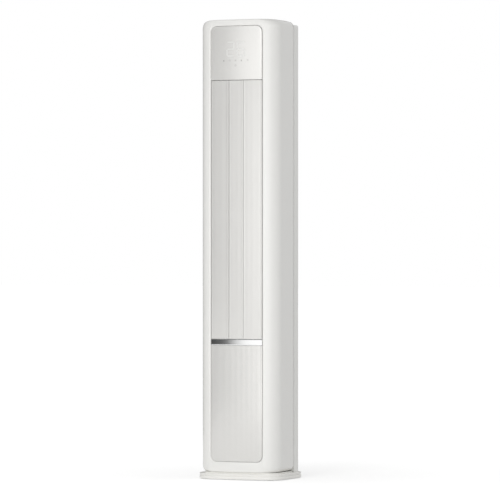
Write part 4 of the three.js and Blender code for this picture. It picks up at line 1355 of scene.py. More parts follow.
@dataclass(frozen=True)
class Display:
    """The display panel with its touch icons and the pale digits behind its face.

    Attributes:
        plan: The column's plan.
        hole: The opening that the panel sits in.
        bottom: Its bottom.
        setback: How far its face lies behind the bow.
        soft: Radius of its face's edges.
        icon_row: Height of the row of icons.
        icon_pitch: Distance between them.
        power_height: Height of the power icon.
        digit_width: Width of a digit.
        digit_height: Height of a digit.
        digit_centre: Height of the digits' centre.
        digit_offset: How far each digit's centre lies from the middle.
        stroke: Width of a digit's segments.
        segment_gap: Half of the gap between two segments that meet.
        print_depth: How far printed shapes reach into the face.
        print_height: How far they stand out of it.
        board_face: Where the board behind the panel lies along Y.
        post_x: How far the board's posts stand from the middle.
        post_heights: Their heights.
        post_radius: Their radius.
    """

    plan: ColumnPlan
    hole: Opening
    bottom: float = 1563.5 * MM
    setback: float = 1.5 * MM
    soft: float = 0.4 * MM
    icon_row: float = 1639 * MM
    icon_pitch: float = 25.7 * MM
    power_height: float = 1620 * MM
    digit_width: float = 30 * MM
    digit_height: float = 54 * MM
    digit_centre: float = 1684 * MM
    digit_offset: float = 22 * MM
    stroke: float = 4.5 * MM
    segment_gap: float = 0.8 * MM
    print_depth: float = 0.3 * MM
    print_height: float = 0.2 * MM
    board_face: float = -116.3 * MM
    post_x: float = 61 * MM
    post_heights: Flat = (1612.5 * MM, 1724.5 * MM)
    post_radius: float = 4 * MM

    def print_on(self, skin: Skin, outline: Sequence[Flat]) -> None:
        """Adds a thin shape to the panel's face, bent to its bow.

        Args:
            skin: The skin that it joins.
            outline: Its points in X and Z.
        """
        def layer(depth: float) -> Ring:
            """The outline at a depth behind the panel's face."""
            return [(x, self.plan.bowed_y(x, self.setback) + depth, z) for x, z in outline]

        skin.loft([layer(self.print_depth), layer(-self.print_height)])

    def icons(self) -> None:
        """Prints the row of icons and the power icon under its middle."""
        row = (Icon.DROP, Icon.BLADES, Icon.BARS, Icon.MOON, Icon.CLOCK)
        places = [((i - 2) * self.icon_pitch, self.icon_row, icon) for i, icon in enumerate(row)]
        skin = Skin()
        for x, z, icon in [*places, (0.0, self.power_height, Icon.POWER)]:
            for outline in icon.outlines():
                self.print_on(skin, [(x + u * MM, z + v * MM) for u, v in outline])
        make_piece("display_icons", skin, PRINTED_INK, "cabinet", crease=PLAIN_CREASE)

    def digits(self) -> None:
        """Lays the two pale digits on the panel, of seven bars each with some of them left out."""
        half, high = self.digit_width / 2, self.digit_height / 2
        bars = {
            "top": ((-half, high), (half, high)), "middle": ((-half, 0), (half, 0)),
            "bottom": ((-half, -high), (half, -high)), "left_up": ((-half, 0), (-half, high)),
            "left_down": ((-half, -high), (-half, 0)), "right_up": ((half, 0), (half, high)),
            "right_down": ((half, -high), (half, 0)),
        }
        skin = Skin()
        for side, missing in ((-1, ("left_up", "right_down")), (1, ("right_up",))):
            middle = side * self.digit_offset
            for name, (start, end) in bars.items():
                if name in missing:
                    continue
                a, b = Vector(start), Vector(end)
                along = (b - a).normalized()
                across = Vector((-along.y, along.x)) * self.stroke / 2
                a, b = a + along * self.segment_gap, b - along * self.segment_gap
                tip = along * self.stroke / 2
                shape = (
                    a, a + tip - across, b - tip - across, b, b - tip + across, a + tip + across,
                )
                self.print_on(skin, [(middle + p.x, self.digit_centre + p.y) for p in shape])
        make_piece("display_digits", skin, DIFFUSER_FILM, "cabinet", crease=PLAIN_CREASE)

    def build(self) -> None:
        """Builds the panel, its icons and its digits, and dresses the board behind it."""
        reveal = self.hole.reveal
        half, corner = self.hole.half_width - reveal, self.hole.corner - reveal
        panel = Panel(
            self.plan, -half, half, self.bottom, self.hole.top - reveal, self.setback,
            soft=self.soft, top_corner=corner,
        )
        skin = panel.skin()
        for x in (-self.post_x, self.post_x):
            for z in self.post_heights:
                start = self.plan.bowed_y(x, self.setback + panel.wall / 2)
                skin.prism(disc((x, z), self.post_radius), start, self.board_face, "Y")
        make_piece("display_face", skin, PEARL_ABS, "cabinet", ["display_panel"])
        self.icons()
        self.digits()
        dress(GLASS_EPOXY, "display_board")


@dataclass(frozen=True)
class Bands:
    """The bright trim strip and the fluted lower panel under the air outlet.

    Attributes:
        plan: The column's plan.
        hole: The opening that they sit in.
        trim_bottom: Bottom of the strip.
        trim_top: Its top.
        trim_setback: How far its face lies behind the bow.
        trim_soft: Radius of its face's edges.
        lower_top: Top of the fluted panel.
        lower_setback: How far its face lies behind the bow.
    """

    plan: ColumnPlan
    hole: Opening
    trim_bottom: float = 526 * MM
    trim_top: float = 548.5 * MM
    trim_setback: float = 2 * MM
    trim_soft: float = 1 * MM
    lower_top: float = 525.5 * MM
    lower_setback: float = 3 * MM

    def build(self) -> None:
        """Builds both in place of the CAD's."""
        reveal = self.hole.reveal
        half, corner = self.hole.half_width - reveal, self.hole.corner - reveal
        trim = Panel(
            self.plan, -half, half, self.trim_bottom, self.trim_top, self.trim_setback,
            soft=self.trim_soft,
        )
        lower = Panel(
            self.plan, -half, half, self.hole.bottom + reveal, self.lower_top,
            self.lower_setback, bottom_corner=corner, flutes=Flutes(),
        )
        make_piece("trim_band", trim.skin(), METALLISED_ABS, "cabinet", ["trim_strip"])
        make_piece(
            "lower_panel_face", lower.skin(), PEARL_FLUTED_ABS, "cabinet", ["lower_panel"],
        )


# ---- Vanes and their drive ---------------------------------------------------


@dataclass(frozen=True)
class Vane:
    """One upright vane: a fluted blade on two lugs, with pivot pins and a crank.

    Attributes:
        name: The CAD's node and body.
        blade: The blade.
        pivot_y: Where its pivot lies along Y.
        pin_bottom: Bottom of the lower pin.
        pin_top: Top of the upper pin.
        crank_bottom: Bottom of the crank pin.
        pin_radius: Radius of the pivot pins.
        lug_radius: Radius of the lugs.
        lug_thickness: Their thickness.
        lug_flare: How far a lug widens on each side towards the blade.
        crank: How far the crank pin lies from the pivot.
        crank_turn: The crank's direction, in degrees.
        crank_pin_radius: Radius of the crank pin.
        arm_radius: Half of the crank arm's width.
        root: How far the pins reach into the blade.
        lug_soft: How far the edges of lugs and arm are broken.
        pin_soft: How far the ends of the pivot pins are broken.
        crank_soft: How far the crank pin's end is broken.
    """

    name: str
    blade: Panel
    pivot_y: float = -112 * MM
    pin_bottom: float = 541.3 * MM
    pin_top: float = 1567.2 * MM
    crank_bottom: float = 545.3 * MM
    pin_radius: float = 3 * MM
    lug_radius: float = 7 * MM
    lug_thickness: float = 3 * MM
    lug_flare: float = 3 * MM
    crank: float = 14 * MM
    crank_turn: float = 50.0
    crank_pin_radius: float = 2 * MM
    arm_radius: float = 4 * MM
    root: float = 1 * MM
    lug_soft: float = 0.4 * MM
    pin_soft: float = 0.3 * MM
    crank_soft: float = 0.2 * MM

    def build(self) -> None:
        """Builds the vane in place of the CAD's."""
        blade = self.blade
        skin = blade.skin()
        x = (blade.x0 + blade.x1) / 2
        pivot = (x, self.pivot_y)
        end = polar(self.crank, self.crank_turn, pivot)
        behind = blade.plan.bowed_y(x, blade.setback + blade.wall / 2)
        foot = self.lug_radius + self.lug_flare
        lug = arc(pivot, self.lug_radius, 0, 180, steps=20)
        lug += [(x - foot, behind), (x + foot, behind)]
        for bottom in (blade.z0, blade.z1 - self.lug_thickness):
            skin.prism(lug, bottom, bottom + self.lug_thickness, soft=self.lug_soft)
        across = self.crank_turn + 90
        arm = [
            *arc(end, self.arm_radius, across - 180, across, steps=12),
            *arc(pivot, self.arm_radius, across, across + 180, steps=12),
        ]
        skin.prism(arm, blade.z0, blade.z0 + self.lug_thickness, soft=self.lug_soft)
        pin, crank_pin = disc(pivot, self.pin_radius), disc(end, self.crank_pin_radius, steps=16)
        skin.prism(pin, self.pin_bottom, blade.z0 + self.root, soft=self.pin_soft)
        skin.prism(crank_pin, self.crank_bottom, blade.z0 + self.root, soft=self.crank_soft)
        skin.prism(pin, blade.z1 - self.root, self.pin_top, soft=self.pin_soft)
        make_piece(f"{self.name}_blade", skin, PEARL_FLUTED_ABS, self.name, [self.name])


@dataclass(frozen=True)
class Vanes:
    """The three vanes, the bar that links them, their motor and the frame that carries them.

    The blades are 0.3 mm wider on each side than the solids, so that the seams between them stay
    fine.

    Attributes:
        plan: The column's plan.
        edges: Each vane's node, left end and right end.
        bottom: Bottom of the blades.
        top: Top of the blades.
        setback: How far they lie behind the bow.
        margin: Plain margin at a blade's other ends.
        seam_margin: Plain margin on both sides of the seam between left and middle vane.
        soft: Radius of the blades' edges.
        motor_pin_top: Top of the middle vane's driven pin.
    """

    plan: ColumnPlan
    edges: tuple[tuple[str, float, float], ...] = (
        ("vane_left", -108.3 * MM, -31.7 * MM),
        ("vane_middle", -30.8 * MM, 30.8 * MM),
        ("vane_right", 31.7 * MM, 108.3 * MM),
    )
    bottom: float = 550.3 * MM
    top: float = 1561.7 * MM
    setback: float = 4 * MM
    margin: float = 5 * MM
    seam_margin: float = 8 * MM
    soft: float = 0.6 * MM
    motor_pin_top: float = 1574.2 * MM

    def build(self) -> None:
        """Builds the vanes and dresses their drive."""
        for name, x0, x1 in self.edges:
            driven = name == "vane_middle"
            left = self.seam_margin if driven else self.margin
            right = self.seam_margin if name == "vane_left" else self.margin
            blade = Panel(
                self.plan, x0, x1, self.bottom, self.top, self.setback, soft=self.soft,
                flutes=Flutes(left=left, right=right),
            )
            pin_top = self.motor_pin_top if driven else Vane.pin_top
            Vane(name, blade, pin_top=pin_top).build()
        dress(FILLED_POLYPROPYLENE, "louvre_link")
        dress(GALVANISED_STEEL, "louvre_motor")
        dress(SATIN_ABS, "outlet_frame")


# ---- Deflectors --------------------------------------------------------------


@dataclass(frozen=True)
class Deflectors:
    """The level deflectors behind the vanes, their link rod and motor.

    Attributes:
        count: How many there are.
        lead: The one that the motor turns.
        first: Height of the lowest.
        pitch: Distance between them.
        axis: Where their axes lie along Y.
        chord: Their depth.
        thickness: Their thickness.
        end: Half of a blade's length.
        pin_end: Half of the length over the pins.
        driven_end: End of the lead deflector's driven pin.
        pin_radius: Radius of the pins.
        link: Where the link rod lies along X.
        notch: Width of the notch that the rod runs in.
        notch_start: How far behind the axis the notch starts.
        crank: How far the crank pin lies behind the axis.
        crank_radius: Radius of the crank pin.
        root: How far the pins reach into the blade.
        overlap: How far the notched length reaches into the whole ones.
        pin_soft: How far the pins' ends are broken.
        fullness: Power that sets how full the section's nose is.
        taper: How much thinner the section grows towards its tail, as a share.
    """

    count: int = 7
    lead: int = 4
    first: float = 617.75 * MM
    pitch: float = 145.5 * MM
    axis: float = -59 * MM
    chord: float = 24 * MM
    thickness: float = 2 * MM
    end: float = 113.2 * MM
    pin_end: float = 116.5 * MM
    driven_end: float = 123.5 * MM
    pin_radius: float = 2 * MM
    link: float = 98.2 * MM
    notch: float = 9 * MM
    notch_start: float = 4 * MM
    crank: float = 9 * MM
    crank_radius: float = 1.2 * MM
    root: float = 1 * MM
    overlap: float = 0.1 * MM
    pin_soft: float = 0.3 * MM
    fullness: int = 4
    taper: float = 0.35

    def section(self, z: float, tail: float) -> list[Flat]:
        """A blade's section, with a round nose and a thin tail.

        Args:
            z: Height of the axis.
            tail: Where the section is cut off, behind the axis.

        Returns:
            Its points in Y and Z, anticlockwise.
        """
        half = self.chord / 2
        reach = spread(-1, min(1.0, tail / half), steps=20)
        depth = [
            self.thickness / 2 * (1 - t ** self.fullness) ** 0.5 * (1 - self.taper * max(0.0, t))
            for t in reach
        ]
        lower = [(self.axis + t * half, z - d) for t, d in zip(reach, depth)]
        # Where the section has no thickness, the lower side's point serves for both.
        upper = [(self.axis + t * half, z + d) for t, d in zip(reach, depth) if d > LEVEL_WITHIN]
        return lower + upper[::-1]

    def build(self) -> None:
        """Builds every deflector in place of the CAD's, and dresses the rod and the motor."""
        left, right = self.link - self.notch / 2, self.link + self.notch / 2
        for i in range(self.count):
            name, z = f"deflector_{i + 1}", self.first + i * self.pitch
            last = self.driven_end if i + 1 == self.lead else self.pin_end
            skin = Skin()
            whole, cut = self.section(z, self.chord / 2), self.section(z, self.notch_start)
            skin.prism(whole, -self.end, left, "X")
            skin.prism(cut, left - self.overlap, right + self.overlap, "X")
            skin.prism(whole, right, self.end, "X")
            pin = disc((self.axis, z), self.pin_radius, steps=20)
            skin.prism(pin, -self.pin_end, self.root - self.end, "X", self.pin_soft)
            skin.prism(pin, self.end - self.root, last, "X", self.pin_soft)
            crank = disc((self.axis + self.crank, z), self.crank_radius, steps=16)
            skin.prism(crank, left - self.root, right + self.root, "X")
            make_piece(f"{name}_blade", skin, FILLED_POLYPROPYLENE, name, [name])
        dress(FILLED_POLYPROPYLENE, "deflector_link")
        dress(GALVANISED_STEEL, "deflector_motor")


# ---- Fan ---------------------------------------------------------------------


@dataclass(frozen=True)
class Fan:
    """The tall cross-flow fan: swept blades between discs, on a shaft with its motor and bearing.

    Attributes:
        x: Where its axis lies along X.
        y: Where its axis lies along Y.
        bottom: Its bottom.
        top: Its top.
        radius: Radius of its discs.
        inner: The blades' inner radius.
        blades: How many blades it has.
        sweep: How far a blade leans forward over its depth, in degrees.
        blade_wall: The blades' thickness.
        discs: How many discs hold them.
        disc_wall: The discs' thickness.
        hub_radius: Radius of both hubs.
        hub_length: Their length.
        root: How far blades and hubs stand in from the rotor's ends, and blades from its rim.
        disc_soft: How far the discs' edges are broken.
        hub_soft: How far the hubs' edges are broken.
        edge_share: A blade's thickness at its edges, as a share of its mean.
        belly_share: What its middle has beyond that, as a share of its mean.
    """

    x: float = -20 * MM
    y: float = 12 * MM
    bottom: float = 549 * MM
    top: float = 1559.5 * MM
    radius: float = 50 * MM
    inner: float = 38 * MM
    blades: int = 16
    sweep: float = 14.0
    blade_wall: float = 1.6 * MM
    discs: int = 5
    disc_wall: float = 3 * MM
    hub_radius: float = 13 * MM
    hub_length: float = 22 * MM
    root: float = 1 * MM
    disc_soft: float = 0.6 * MM
    hub_soft: float = 0.8 * MM
    edge_share: float = 0.55
    belly_share: float = 0.9

    def blade(self, turn: float) -> list[Flat]:
        """A blade seen from above, thick in its middle and fine at both edges.

        Args:
            turn: Its place round the axis, in degrees.

        Returns:
            Its points, anticlockwise.
        """
        lead, trail, axis = [], [], (self.x, self.y)
        for t in spread(0, 1, steps=8):
            radius = self.inner + t * (self.radius - self.root - self.inner)
            share = self.edge_share + self.belly_share * math.sin(math.pi * t)
            half = math.degrees(self.blade_wall / 2 / radius * share)
            middle = turn + self.sweep * t * t
            lead.append(polar(radius, middle - half, axis))
            trail.append(polar(radius, middle + half, axis))
        return lead + trail[::-1]

    def build(self) -> None:
        """Builds the rotor in place of the CAD's, and dresses what carries and turns it."""
        skin = Skin()
        low_end, high_end = self.bottom + self.root, self.top - self.root
        for i in range(self.blades):
            skin.prism(self.blade(360 * i / self.blades), low_end, high_end)
        plate = disc((self.x, self.y), self.radius, steps=72)
        for low in spread(self.bottom, self.top - self.disc_wall, self.discs - 1):
            skin.prism(plate, low, low + self.disc_wall, soft=self.disc_soft)
        hub = disc((self.x, self.y), self.hub_radius, steps=32)
        skin.prism(hub, low_end, self.bottom + self.hub_length, soft=self.hub_soft)
        skin.prism(hub, self.top - self.hub_length, high_end, soft=self.hub_soft)
        make_piece("fan_wheel", skin, FAN_RESIN, "fan", ["fan_rotor"])
        dress(BRIGHT_STEEL, "fan_shaft", "fan_journal")
        dress(DARK_PBT, "fan_motor")
        dress(GALVANISED_STEEL, "motor_bracket")
        dress(MOULDED_RUBBER, "upper_bearing")


# ---- Rear housing, grille and filters ----------------------------------------


@dataclass(frozen=True)
class Grille:
    """The intake grille on the back: a rounded frame with two columns of level bars.

    Attributes:
        half_width: Half of its width.
        bottom: Its bottom.
        top: Its top.
        front: Its face against the housing.
        back: Its outer face.
        corner: Radius of its corners.
        slot_in: Where a slot starts from the middle.
        slot_out: Where it ends.
        slot_height: A slot's height.
        slot_pitch: Distance between slots.
        rows: How many slots each column has.
        soft: How far its edges are broken.
        hole_corner: Radius of the inner corners of its frame.
        bar_round: Radius of the bars' edges.
        bar_recess: How far bars and middle post lie below the frame's face.
        overlap: How far bars and middle post reach into the frame.
    """

    half_width: float = 120 * MM
    bottom: float = 547 * MM
    top: float = 1557.5 * MM
    front: float = 128.3 * MM
    back: float = 133 * MM
    corner: float = 12 * MM
    slot_in: float = 6 * MM
    slot_out: float = 106 * MM
    slot_height: float = 15 * MM
    slot_pitch: float = 24 * MM
    rows: int = 41
    soft: float = 1 * MM
    hole_corner: float = 2 * MM
    bar_round: float = 1.6 * MM
    bar_recess: float = 0.2 * MM
    overlap: float = 0.5 * MM

    def build(self) -> None:
        """Builds the grille in place of the CAD's."""
        rise = (self.rows - 1) * self.slot_pitch + self.slot_height
        first = (self.bottom + self.top - rise) / 2
        last = first + rise
        hole = rounded_box(-self.slot_out, self.slot_out, first, last, self.hole_corner)
        rim = rounded_box(-self.half_width, self.half_width, self.bottom, self.top, self.corner)
        # The frame's section, once round: an outline, how far it is drawn in, and its Y. The middle
        # of the rounded outer edge stands in by about 0.3 of its radius.
        shoulder, shy = self.back - self.soft, 0.3 * self.soft
        profile = [
            (rim, 0.0, self.front), (rim, 0.0, shoulder), (rim, shy, self.back - shy),
            (rim, self.soft, self.back), (hole, -self.soft, self.back), (hole, 0.0, shoulder),
            (hole, 0.0, self.front), (rim, 0.0, self.front),
        ]
        rings = [[(x, y, z) for x, z in inset(outline, d)] for outline, d, y in profile]
        skin = Skin()
        skin.loft(rings[::-1], capped=False)
        face = self.back - self.bar_recess
        skin.block(
            (-self.slot_in, self.front, first - self.overlap),
            (self.slot_in, face, last + self.overlap), self.soft,
        )
        inner, outer = self.slot_in - self.overlap, self.slot_out + self.overlap
        for row in range(self.rows - 1):
            low = first + row * self.slot_pitch + self.slot_height
            high = low + self.slot_pitch - self.slot_height
            bar = rounded_box(self.front, face, low, high, self.bar_round, steps=4)
            skin.prism(bar, -outer, -inner, "X")
            skin.prism(bar, inner, outer, "X")
        make_piece("intake_bars", skin, SATIN_ABS, "cabinet", ["intake_grille"])


@dataclass(frozen=True)
class Filter:
    """One air filter: a frame with ribs, a solid end and a net, which slides out at the left.

    Attributes:
        name: The CAD's node and body.
        bottom: Its bottom.
        top: Its top.
        front: Its front face.
        back: Its back face.
        right: Its inner end.
        net_left: Where its net starts.
        end_front: Left end at its front face, flush with the housing.
        end_back: Left end at its back face.
        bar: Width of its frame.
        rib: Width of its ribs.
        columns: Columns of cells.
        rows: Rows of cells.
        net: Thickness of the net.
        soft: How far its edges are broken.
        overlap: How far the solid end reaches over the frame.
    """

    name: str
    bottom: float
    top: float
    front: float = 101 * MM
    back: float = 106 * MM
    right: float = 112 * MM
    net_left: float = -112 * MM
    end_front: float = -166.2 * MM
    end_back: float = -164.3 * MM
    bar: float = 8 * MM
    rib: float = 4 * MM
    columns: int = 3
    rows: int = 5
    net: float = 0.8 * MM
    soft: float = 0.5 * MM
    overlap: float = 2 * MM

    def build(self) -> None:
        """Builds the frame in place of the CAD's filter, and its net."""
        skin = Skin()
        plate_end = self.net_left + self.overlap
        plate = [
            (self.end_front, self.front), (plate_end, self.front),
            (plate_end, self.back), (self.end_back, self.back),
        ]
        skin.prism(plate, self.bottom, self.top, soft=self.soft)

        def beam(x0: float, x1: float, z0: float, z1: float) -> None:
            """Adds a member of the frame, as deep as the filter."""
            skin.block((x0, self.front, z0), (x1, self.back, z1), self.soft)

        bar, half = self.bar + self.rib / 2, self.rib / 2
        net_right, low, high = self.right - self.bar, self.bottom + self.bar, self.top - self.bar
        beam(self.net_left, self.right, self.bottom, self.bottom + bar)
        beam(self.net_left, self.right, self.top - bar, self.top)
        for x in spread(self.net_left, net_right, self.columns)[1:-1]:
            beam(x - half, x + half, low, high)
        for z in spread(low, high, self.rows)[1:-1]:
            beam(self.net_left, net_right, z - half, z + half)
        beam(self.right - bar, self.right, self.bottom, self.top)
        make_piece(f"{self.name}_frame", skin, FILLED_POLYPROPYLENE, self.name, [self.name])
        middle = (self.front + self.back) / 2
        net = Skin()
        net.block(
            (self.net_left, middle - self.net / 2, low), (net_right, middle + self.net / 2, high),
        )
        make_piece(f"{self.name}_net", net, POLYESTER_NET, self.name, crease=PLAIN_CREASE)


@dataclass(frozen=True)
class Back:
    """The rear housing with its grille, filters and ports.

    Attributes:
        grille: The intake grille.
        filters: Both filters.
        web_low: Lowest corner of the right web.
        web_high: Its highest corner.
    """

    grille: Grille = Grille()
    filters: tuple[Filter, ...] = (
        Filter("filter_lower", 555.3 * MM, 1049.9 * MM),
        Filter("filter_upper", 1054.6 * MM, 1549.2 * MM),
    )
    web_low: Point = (138 * MM, 59 * MM, 29.2 * MM)
    web_high: Point = (165.6 * MM, 61 * MM, 62 * MM)

    def webs(self) -> None:
        """Closes the housing's front end low down, behind the cover's rounded lower corners."""
        skin = Skin()
        (inner, front, low), (outer, back, high) = self.web_low, self.web_high
        for x0, x1 in ((-outer, -inner), (inner, outer)):
            skin.block((x0, front, low), (x1, back, high))
        make_piece("housing_webs", skin, HOUSING_ABS, "cabinet", crease=PLAIN_CREASE)

    def build(self) -> None:
        """Builds the grille, the filters and the webs, and dresses the housing and its ports."""
        self.grille.build()
        for one in self.filters:
            one.build()
        self.webs()
        dress(HOUSING_ABS, "rear_housing")
        dress(FILLED_POLYPROPYLENE, "pipe_port_ring")
        dress(DARK_PBT, "cable_gland")


@dataclass(frozen=True)
class Inside:
    """What is held inside and keeps its solids.

    Attributes:
        finishes: Each finish with the nodes that have it.
    """

    finishes: tuple[tuple[Finish, tuple[str, ...]], ...] = (
        (GALVANISED_STEEL, ("lower_shelf", "upper_shelf")),
        (BEAD_FOAM, ("volute_guide", "flow_stabiliser", "drain_pan")),
        (ALUMINIUM_FINS, ("fin_block",)),
        (DRAWN_COPPER, ("coil_tube",)),
        (GALVANISED_STEEL, ("coil_bracket_left", "coil_bracket_right")),
        (TURNED_BRASS, ("liquid_nut", "gas_nut")),
        (FILLED_POLYPROPYLENE, ("drain_pipe",)),
        (GALVANISED_STEEL, ("electrical_box", "electrical_lid")),
        (GLASS_EPOXY, ("control_board",)),
        (DARK_PBT, ("terminal_block",)),
    )

    def build(self) -> None:
        """Dresses every node."""
        for finish, nodes in self.finishes:
            dress(finish, *nodes)


# ---- Studio ------------------------------------------------------------------

# Height of the column's middle, which the lights face.
AIM_HEIGHT = 0.9
# How bright the graded card is, by its direction in degrees from straight ahead, to the right.
CARD_TONES = (
    (-168, 0.12), (-120, 0.1), (-78, 0.07), (-38, 0.09), (-32, 0.16), (-29, 0.27), (-26, 0.55),
    (-23, 0.82), (-19, 1.1), (-15, 1.22), (-9, 1.28), (0, 1.35), (8, 1.85), (45, 1.85),
)
BRIGHTEST_TONE = max(tone for _, tone in CARD_TONES)


def round_the_column(distance: float, azimuth: float, height: float) -> Point:
    """A place in the studio.

    Args:
        distance: From the column's axis.
        azimuth: Its direction in degrees from straight ahead of the column, to the right.
        height: Above the floor.

    Returns:
        The place.
    """
    x, y = polar(distance, azimuth - 90)
    return (x, y, height)


@dataclass(frozen=True)
class Softbox:
    """An area light.

    Attributes:
        name: Its name.
        azimuth: Where it stands, in degrees from straight ahead of the column, to the right.
        distance: How far from the column's axis.
        height: Its middle's height.
        width: Its width.
        rise: Its height from edge to edge.
        power: Its power in watts.
    """

    name: str
    azimuth: float
    distance: float
    height: float
    width: float
    rise: float
    power: float

    def build(self) -> None:
        """Places the light, facing the column."""
        light = bpy.data.lights.new(self.name, "AREA")
        light.shape = "RECTANGLE"
        light.size, light.size_y, light.energy = self.width, self.rise, self.power
        lamp = bpy.data.objects.new(self.name, light)
        lamp.location = round_the_column(self.distance, self.azimuth, self.height)
        aim = Vector((0, 0, AIM_HEIGHT)) - Vector(lamp.location)
        lamp.rotation_euler = aim.to_track_quat("-Z", "Y").to_euler()
        lamp.visible_camera = False
        # In reflections the graded card stands for it.
        lamp.visible_glossy = False
        bpy.context.scene.collection.objects.link(lamp)


@dataclass(frozen=True)
class GradedCard:
    """A curved card that stands for the lights in reflections, and lights nothing by itself.

    It runs round the column's left and front, dark at its left end and bright at its right one.
    The trim strip and the pearl coat mirror it, which shades them from dark to bright.

    Attributes:
        radius: How far it stands from the column's axis.
        bottom: Its lower edge.
        top: Its upper edge.
        steps: How many flat strips make its curve.
    """

    radius: float = 2.6
    bottom: float = 0.02
    top: float = 2.7
    steps: int = 120

    def build(self) -> None:
        """Builds the card with its tones."""
        turns = spread(CARD_TONES[0][0], CARD_TONES[-1][0], self.steps)
        rings = [
            [round_the_column(self.radius, turn, z) for turn in turns]
            for z in (self.bottom, self.top)
        ]
        skin = Skin()
        skin.loft(rings, closed=False, capped=False)
        card = place_mesh("graded_card", skin, self.paint())
        card.visible_camera = False
        card.visible_diffuse = False
        card.visible_shadow = False

    def paint(self) -> bpy.types.Material:
        """Makes the card's glowing material.

        Returns:
            The material.
        """
        made = empty_material("graded_card")
        tree = made.node_tree
        place = add_node(tree, "ShaderNodeTexCoord").outputs["Object"]
        split = add_node(tree, "ShaderNodeSeparateXYZ", links={0: place})
        ahead = add_node(
            tree, "ShaderNodeMath", {"operation": "MULTIPLY"}, {1: -1.0}, {0: split.outputs["Y"]},
        )
        turn = add_node(
            tree, "ShaderNodeMath", {"operation": "ARCTAN2"},
            links={0: split.outputs["X"], 1: ahead.outputs[0]},
        )
        first, last = CARD_TONES[0][0], CARD_TONES[-1][0]
        share = add_node(
            tree, "ShaderNodeMapRange",
            values={"From Min": math.radians(first), "From Max": math.radians(last)},
            links={"Value": turn.outputs[0]},
        )
        ramp = add_node(tree, "ShaderNodeValToRGB", links={0: share.outputs["Result"]})
        stops = ramp.color_ramp.elements
        while len(stops) < len(CARD_TONES):
            stops.new(0.5)
        for stop, (angle, tone) in zip(stops, CARD_TONES):
            stop.position = (angle - first) / (last - first)
            stop.color = (tone / BRIGHTEST_TONE,) * 3 + (1.0,)
        glow = add_node(
            tree, "ShaderNodeEmission", values={"Strength": BRIGHTEST_TONE},
            links={"Color": ramp.outputs["Color"]},
        )
        add_node(tree, "ShaderNodeOutputMaterial", links={"Surface": glow.outputs[0]})
        return made


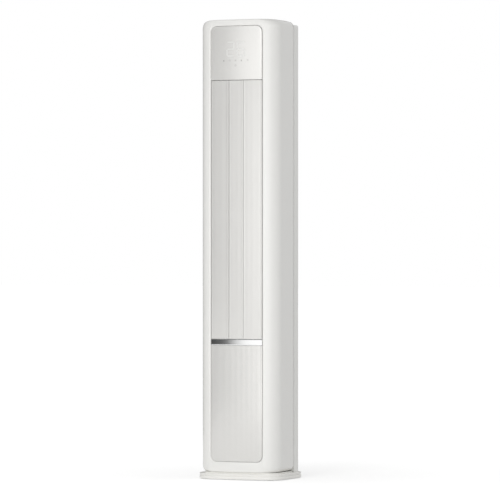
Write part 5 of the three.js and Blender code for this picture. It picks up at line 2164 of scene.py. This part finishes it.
@dataclass(frozen=True)
class Studio:
    """A white studio: a pale floor, soft lights, and a backdrop that is white to the camera.

    Attributes:
        fill: Radiance of the surroundings for all but camera and mirrored rays.
        mirrored: Their radiance in reflections.
        near_lift: What a camera ray adds to the floor by the column, where its soft shadow lies.
        far_lift: What it adds further off, so that the floor blends into the white.
        lift_span: The distances from the column between which the one passes into the other.
        mirror_lift: What a mirrored ray adds to the floor.
        floor_reach: How far the floor reaches to each side.
        floor_colour: The floor's paint, as sRGB hex.
        lights: The softboxes.
        card: The graded card.
    """

    fill: float = 0.6
    mirrored: float = 0.95
    near_lift: float = 0.37
    far_lift: float = 0.5
    lift_span: Flat = (0.3, 1.5)
    mirror_lift: float = 0.25
    floor_reach: float = 60.0
    floor_colour: str = "F3F3F3"
    lights: tuple[Softbox, ...] = (
        Softbox(
            "key_softbox", azimuth=3, distance=3.2, height=1.05, width=1.3, rise=2.0, power=33,
        ),
    )
    card: GradedCard = GradedCard()

    def world(self) -> None:
        """Makes the surroundings: white to the camera, a soft fill to all else."""
        world = bpy.data.worlds.new("studio")
        bpy.context.scene.world = world
        world.use_nodes = True
        tree = world.node_tree
        tree.nodes.clear()
        path = add_node(tree, "ShaderNodeLightPath")
        mirrored = add_node(
            tree, "ShaderNodeMath", {"operation": "MAXIMUM"},
            links={0: path.outputs["Is Glossy Ray"], 1: path.outputs["Is Transmission Ray"]},
        )
        soft = add_node(
            tree, "ShaderNodeMapRange", values={"To Min": self.fill, "To Max": self.mirrored},
            links={"Value": mirrored.outputs[0]},
        )
        seen = add_node(
            tree, "ShaderNodeMix", {"data_type": "FLOAT"}, {3: 1.0},
            {0: path.outputs["Is Camera Ray"], 2: soft.outputs["Result"]},
        )
        back = add_node(
            tree, "ShaderNodeBackground", values={"Color": (1, 1, 1, 1)},
            links={"Strength": seen.outputs[0]},
        )
        add_node(tree, "ShaderNodeOutputWorld", links={"Surface": back.outputs[0]})

    def floor(self) -> None:
        """Lays the pale floor, which keeps the column's soft shadow."""
        made = empty_material("studio_floor")
        tree = made.node_tree
        path = add_node(tree, "ShaderNodeLightPath")
        paint = add_node(
            tree, "ShaderNodeBsdfDiffuse", values={"Color": linear(self.floor_colour)},
        )
        place = add_node(tree, "ShaderNodeTexCoord").outputs["Object"]
        away = add_node(tree, "ShaderNodeVectorMath", {"operation": "LENGTH"}, links={0: place})
        by_distance = add_node(
            tree, "ShaderNodeMapRange",
            values={
                "From Min": self.lift_span[0], "From Max": self.lift_span[1],
                "To Min": self.near_lift, "To Max": self.far_lift,
            },
            links={"Value": away.outputs["Value"]},
        )
        seen = add_node(
            tree, "ShaderNodeMath", {"operation": "MULTIPLY"},
            links={0: by_distance.outputs["Result"], 1: path.outputs["Is Camera Ray"]},
        )
        lift = add_node(
            tree, "ShaderNodeMath", {"operation": "MULTIPLY_ADD"}, {1: self.mirror_lift},
            {0: path.outputs["Is Glossy Ray"], 2: seen.outputs[0]},
        )
        glow = add_node(tree, "ShaderNodeEmission", links={"Strength": lift.outputs[0]})
        both = add_node(
            tree, "ShaderNodeAddShader", links={0: paint.outputs[0], 1: glow.outputs[0]},
        )
        add_node(tree, "ShaderNodeOutputMaterial", links={"Surface": both.outputs[0]})
        reach, skin = self.floor_reach, Skin()
        corners = ((-reach, -reach), (reach, -reach), (reach, reach), (-reach, reach))
        skin.faces.append(tuple(skin.ring([(x, y, 0.0) for x, y in corners])))
        place_mesh("studio_floor", skin, made)

    def build(self) -> None:
        """Builds the whole studio."""
        self.world()
        self.floor()
        self.card.build()
        for light in self.lights:
            light.build()
        bpy.context.scene.view_settings.view_transform = "Standard"


@dataclass(frozen=True)
class Camera:
    """The camera, level, right of the column's front.

    Attributes:
        azimuth: Its direction from the column, in degrees to the right of straight ahead.
        distance: Its distance from the column's axis.
        height: Its height.
        lens: Its focal length, in millimetres.
        sensor: Its sensor's width, in millimetres.
        shift_x: Sideways shift, for the framing.
        shift_y: Upwards shift, for the framing.
        sight: How far it sees.
    """

    azimuth: float = 24.72
    distance: float = 14.0
    height: float = 0.914
    lens: float = 255.9
    sensor: float = 36.0
    shift_x: float = 0.0018
    shift_y: float = -0.0079
    sight: float = 200.0

    def build(self) -> None:
        """Places the camera and makes it the scene's."""
        data = bpy.data.cameras.new("photo_camera")
        data.lens, data.sensor_width = self.lens, self.sensor
        data.shift_x, data.shift_y = self.shift_x, self.shift_y
        data.dof.use_dof = False
        data.clip_end = self.sight
        camera = bpy.data.objects.new("photo_camera", data)
        camera.location = round_the_column(self.distance, self.azimuth, self.height)
        camera.rotation_euler = (math.pi / 2, 0.0, math.radians(self.azimuth))
        bpy.context.scene.collection.objects.link(camera)
        bpy.context.scene.camera = camera


# ---- The whole ---------------------------------------------------------------


def main() -> None:
    """Builds every sub-assembly, then the studio and the camera."""
    logging.basicConfig(level=logging.INFO, format="%(name)s: %(message)s")
    plan = ColumnPlan(width=336 * MM, front=-128 * MM, back=128 * MM)
    hole = Opening()
    FrontCover(plan, hole).build()
    Base(plan).build()
    Display(plan, hole).build()
    Bands(plan, hole).build()
    Vanes(plan).build()
    Deflectors().build()
    Fan().build()
    Back().build()
    Inside().build()
    Studio().build()
    Camera().build()
    LOG.info("all pieces are built")


if __name__ == "__main__":
    main()
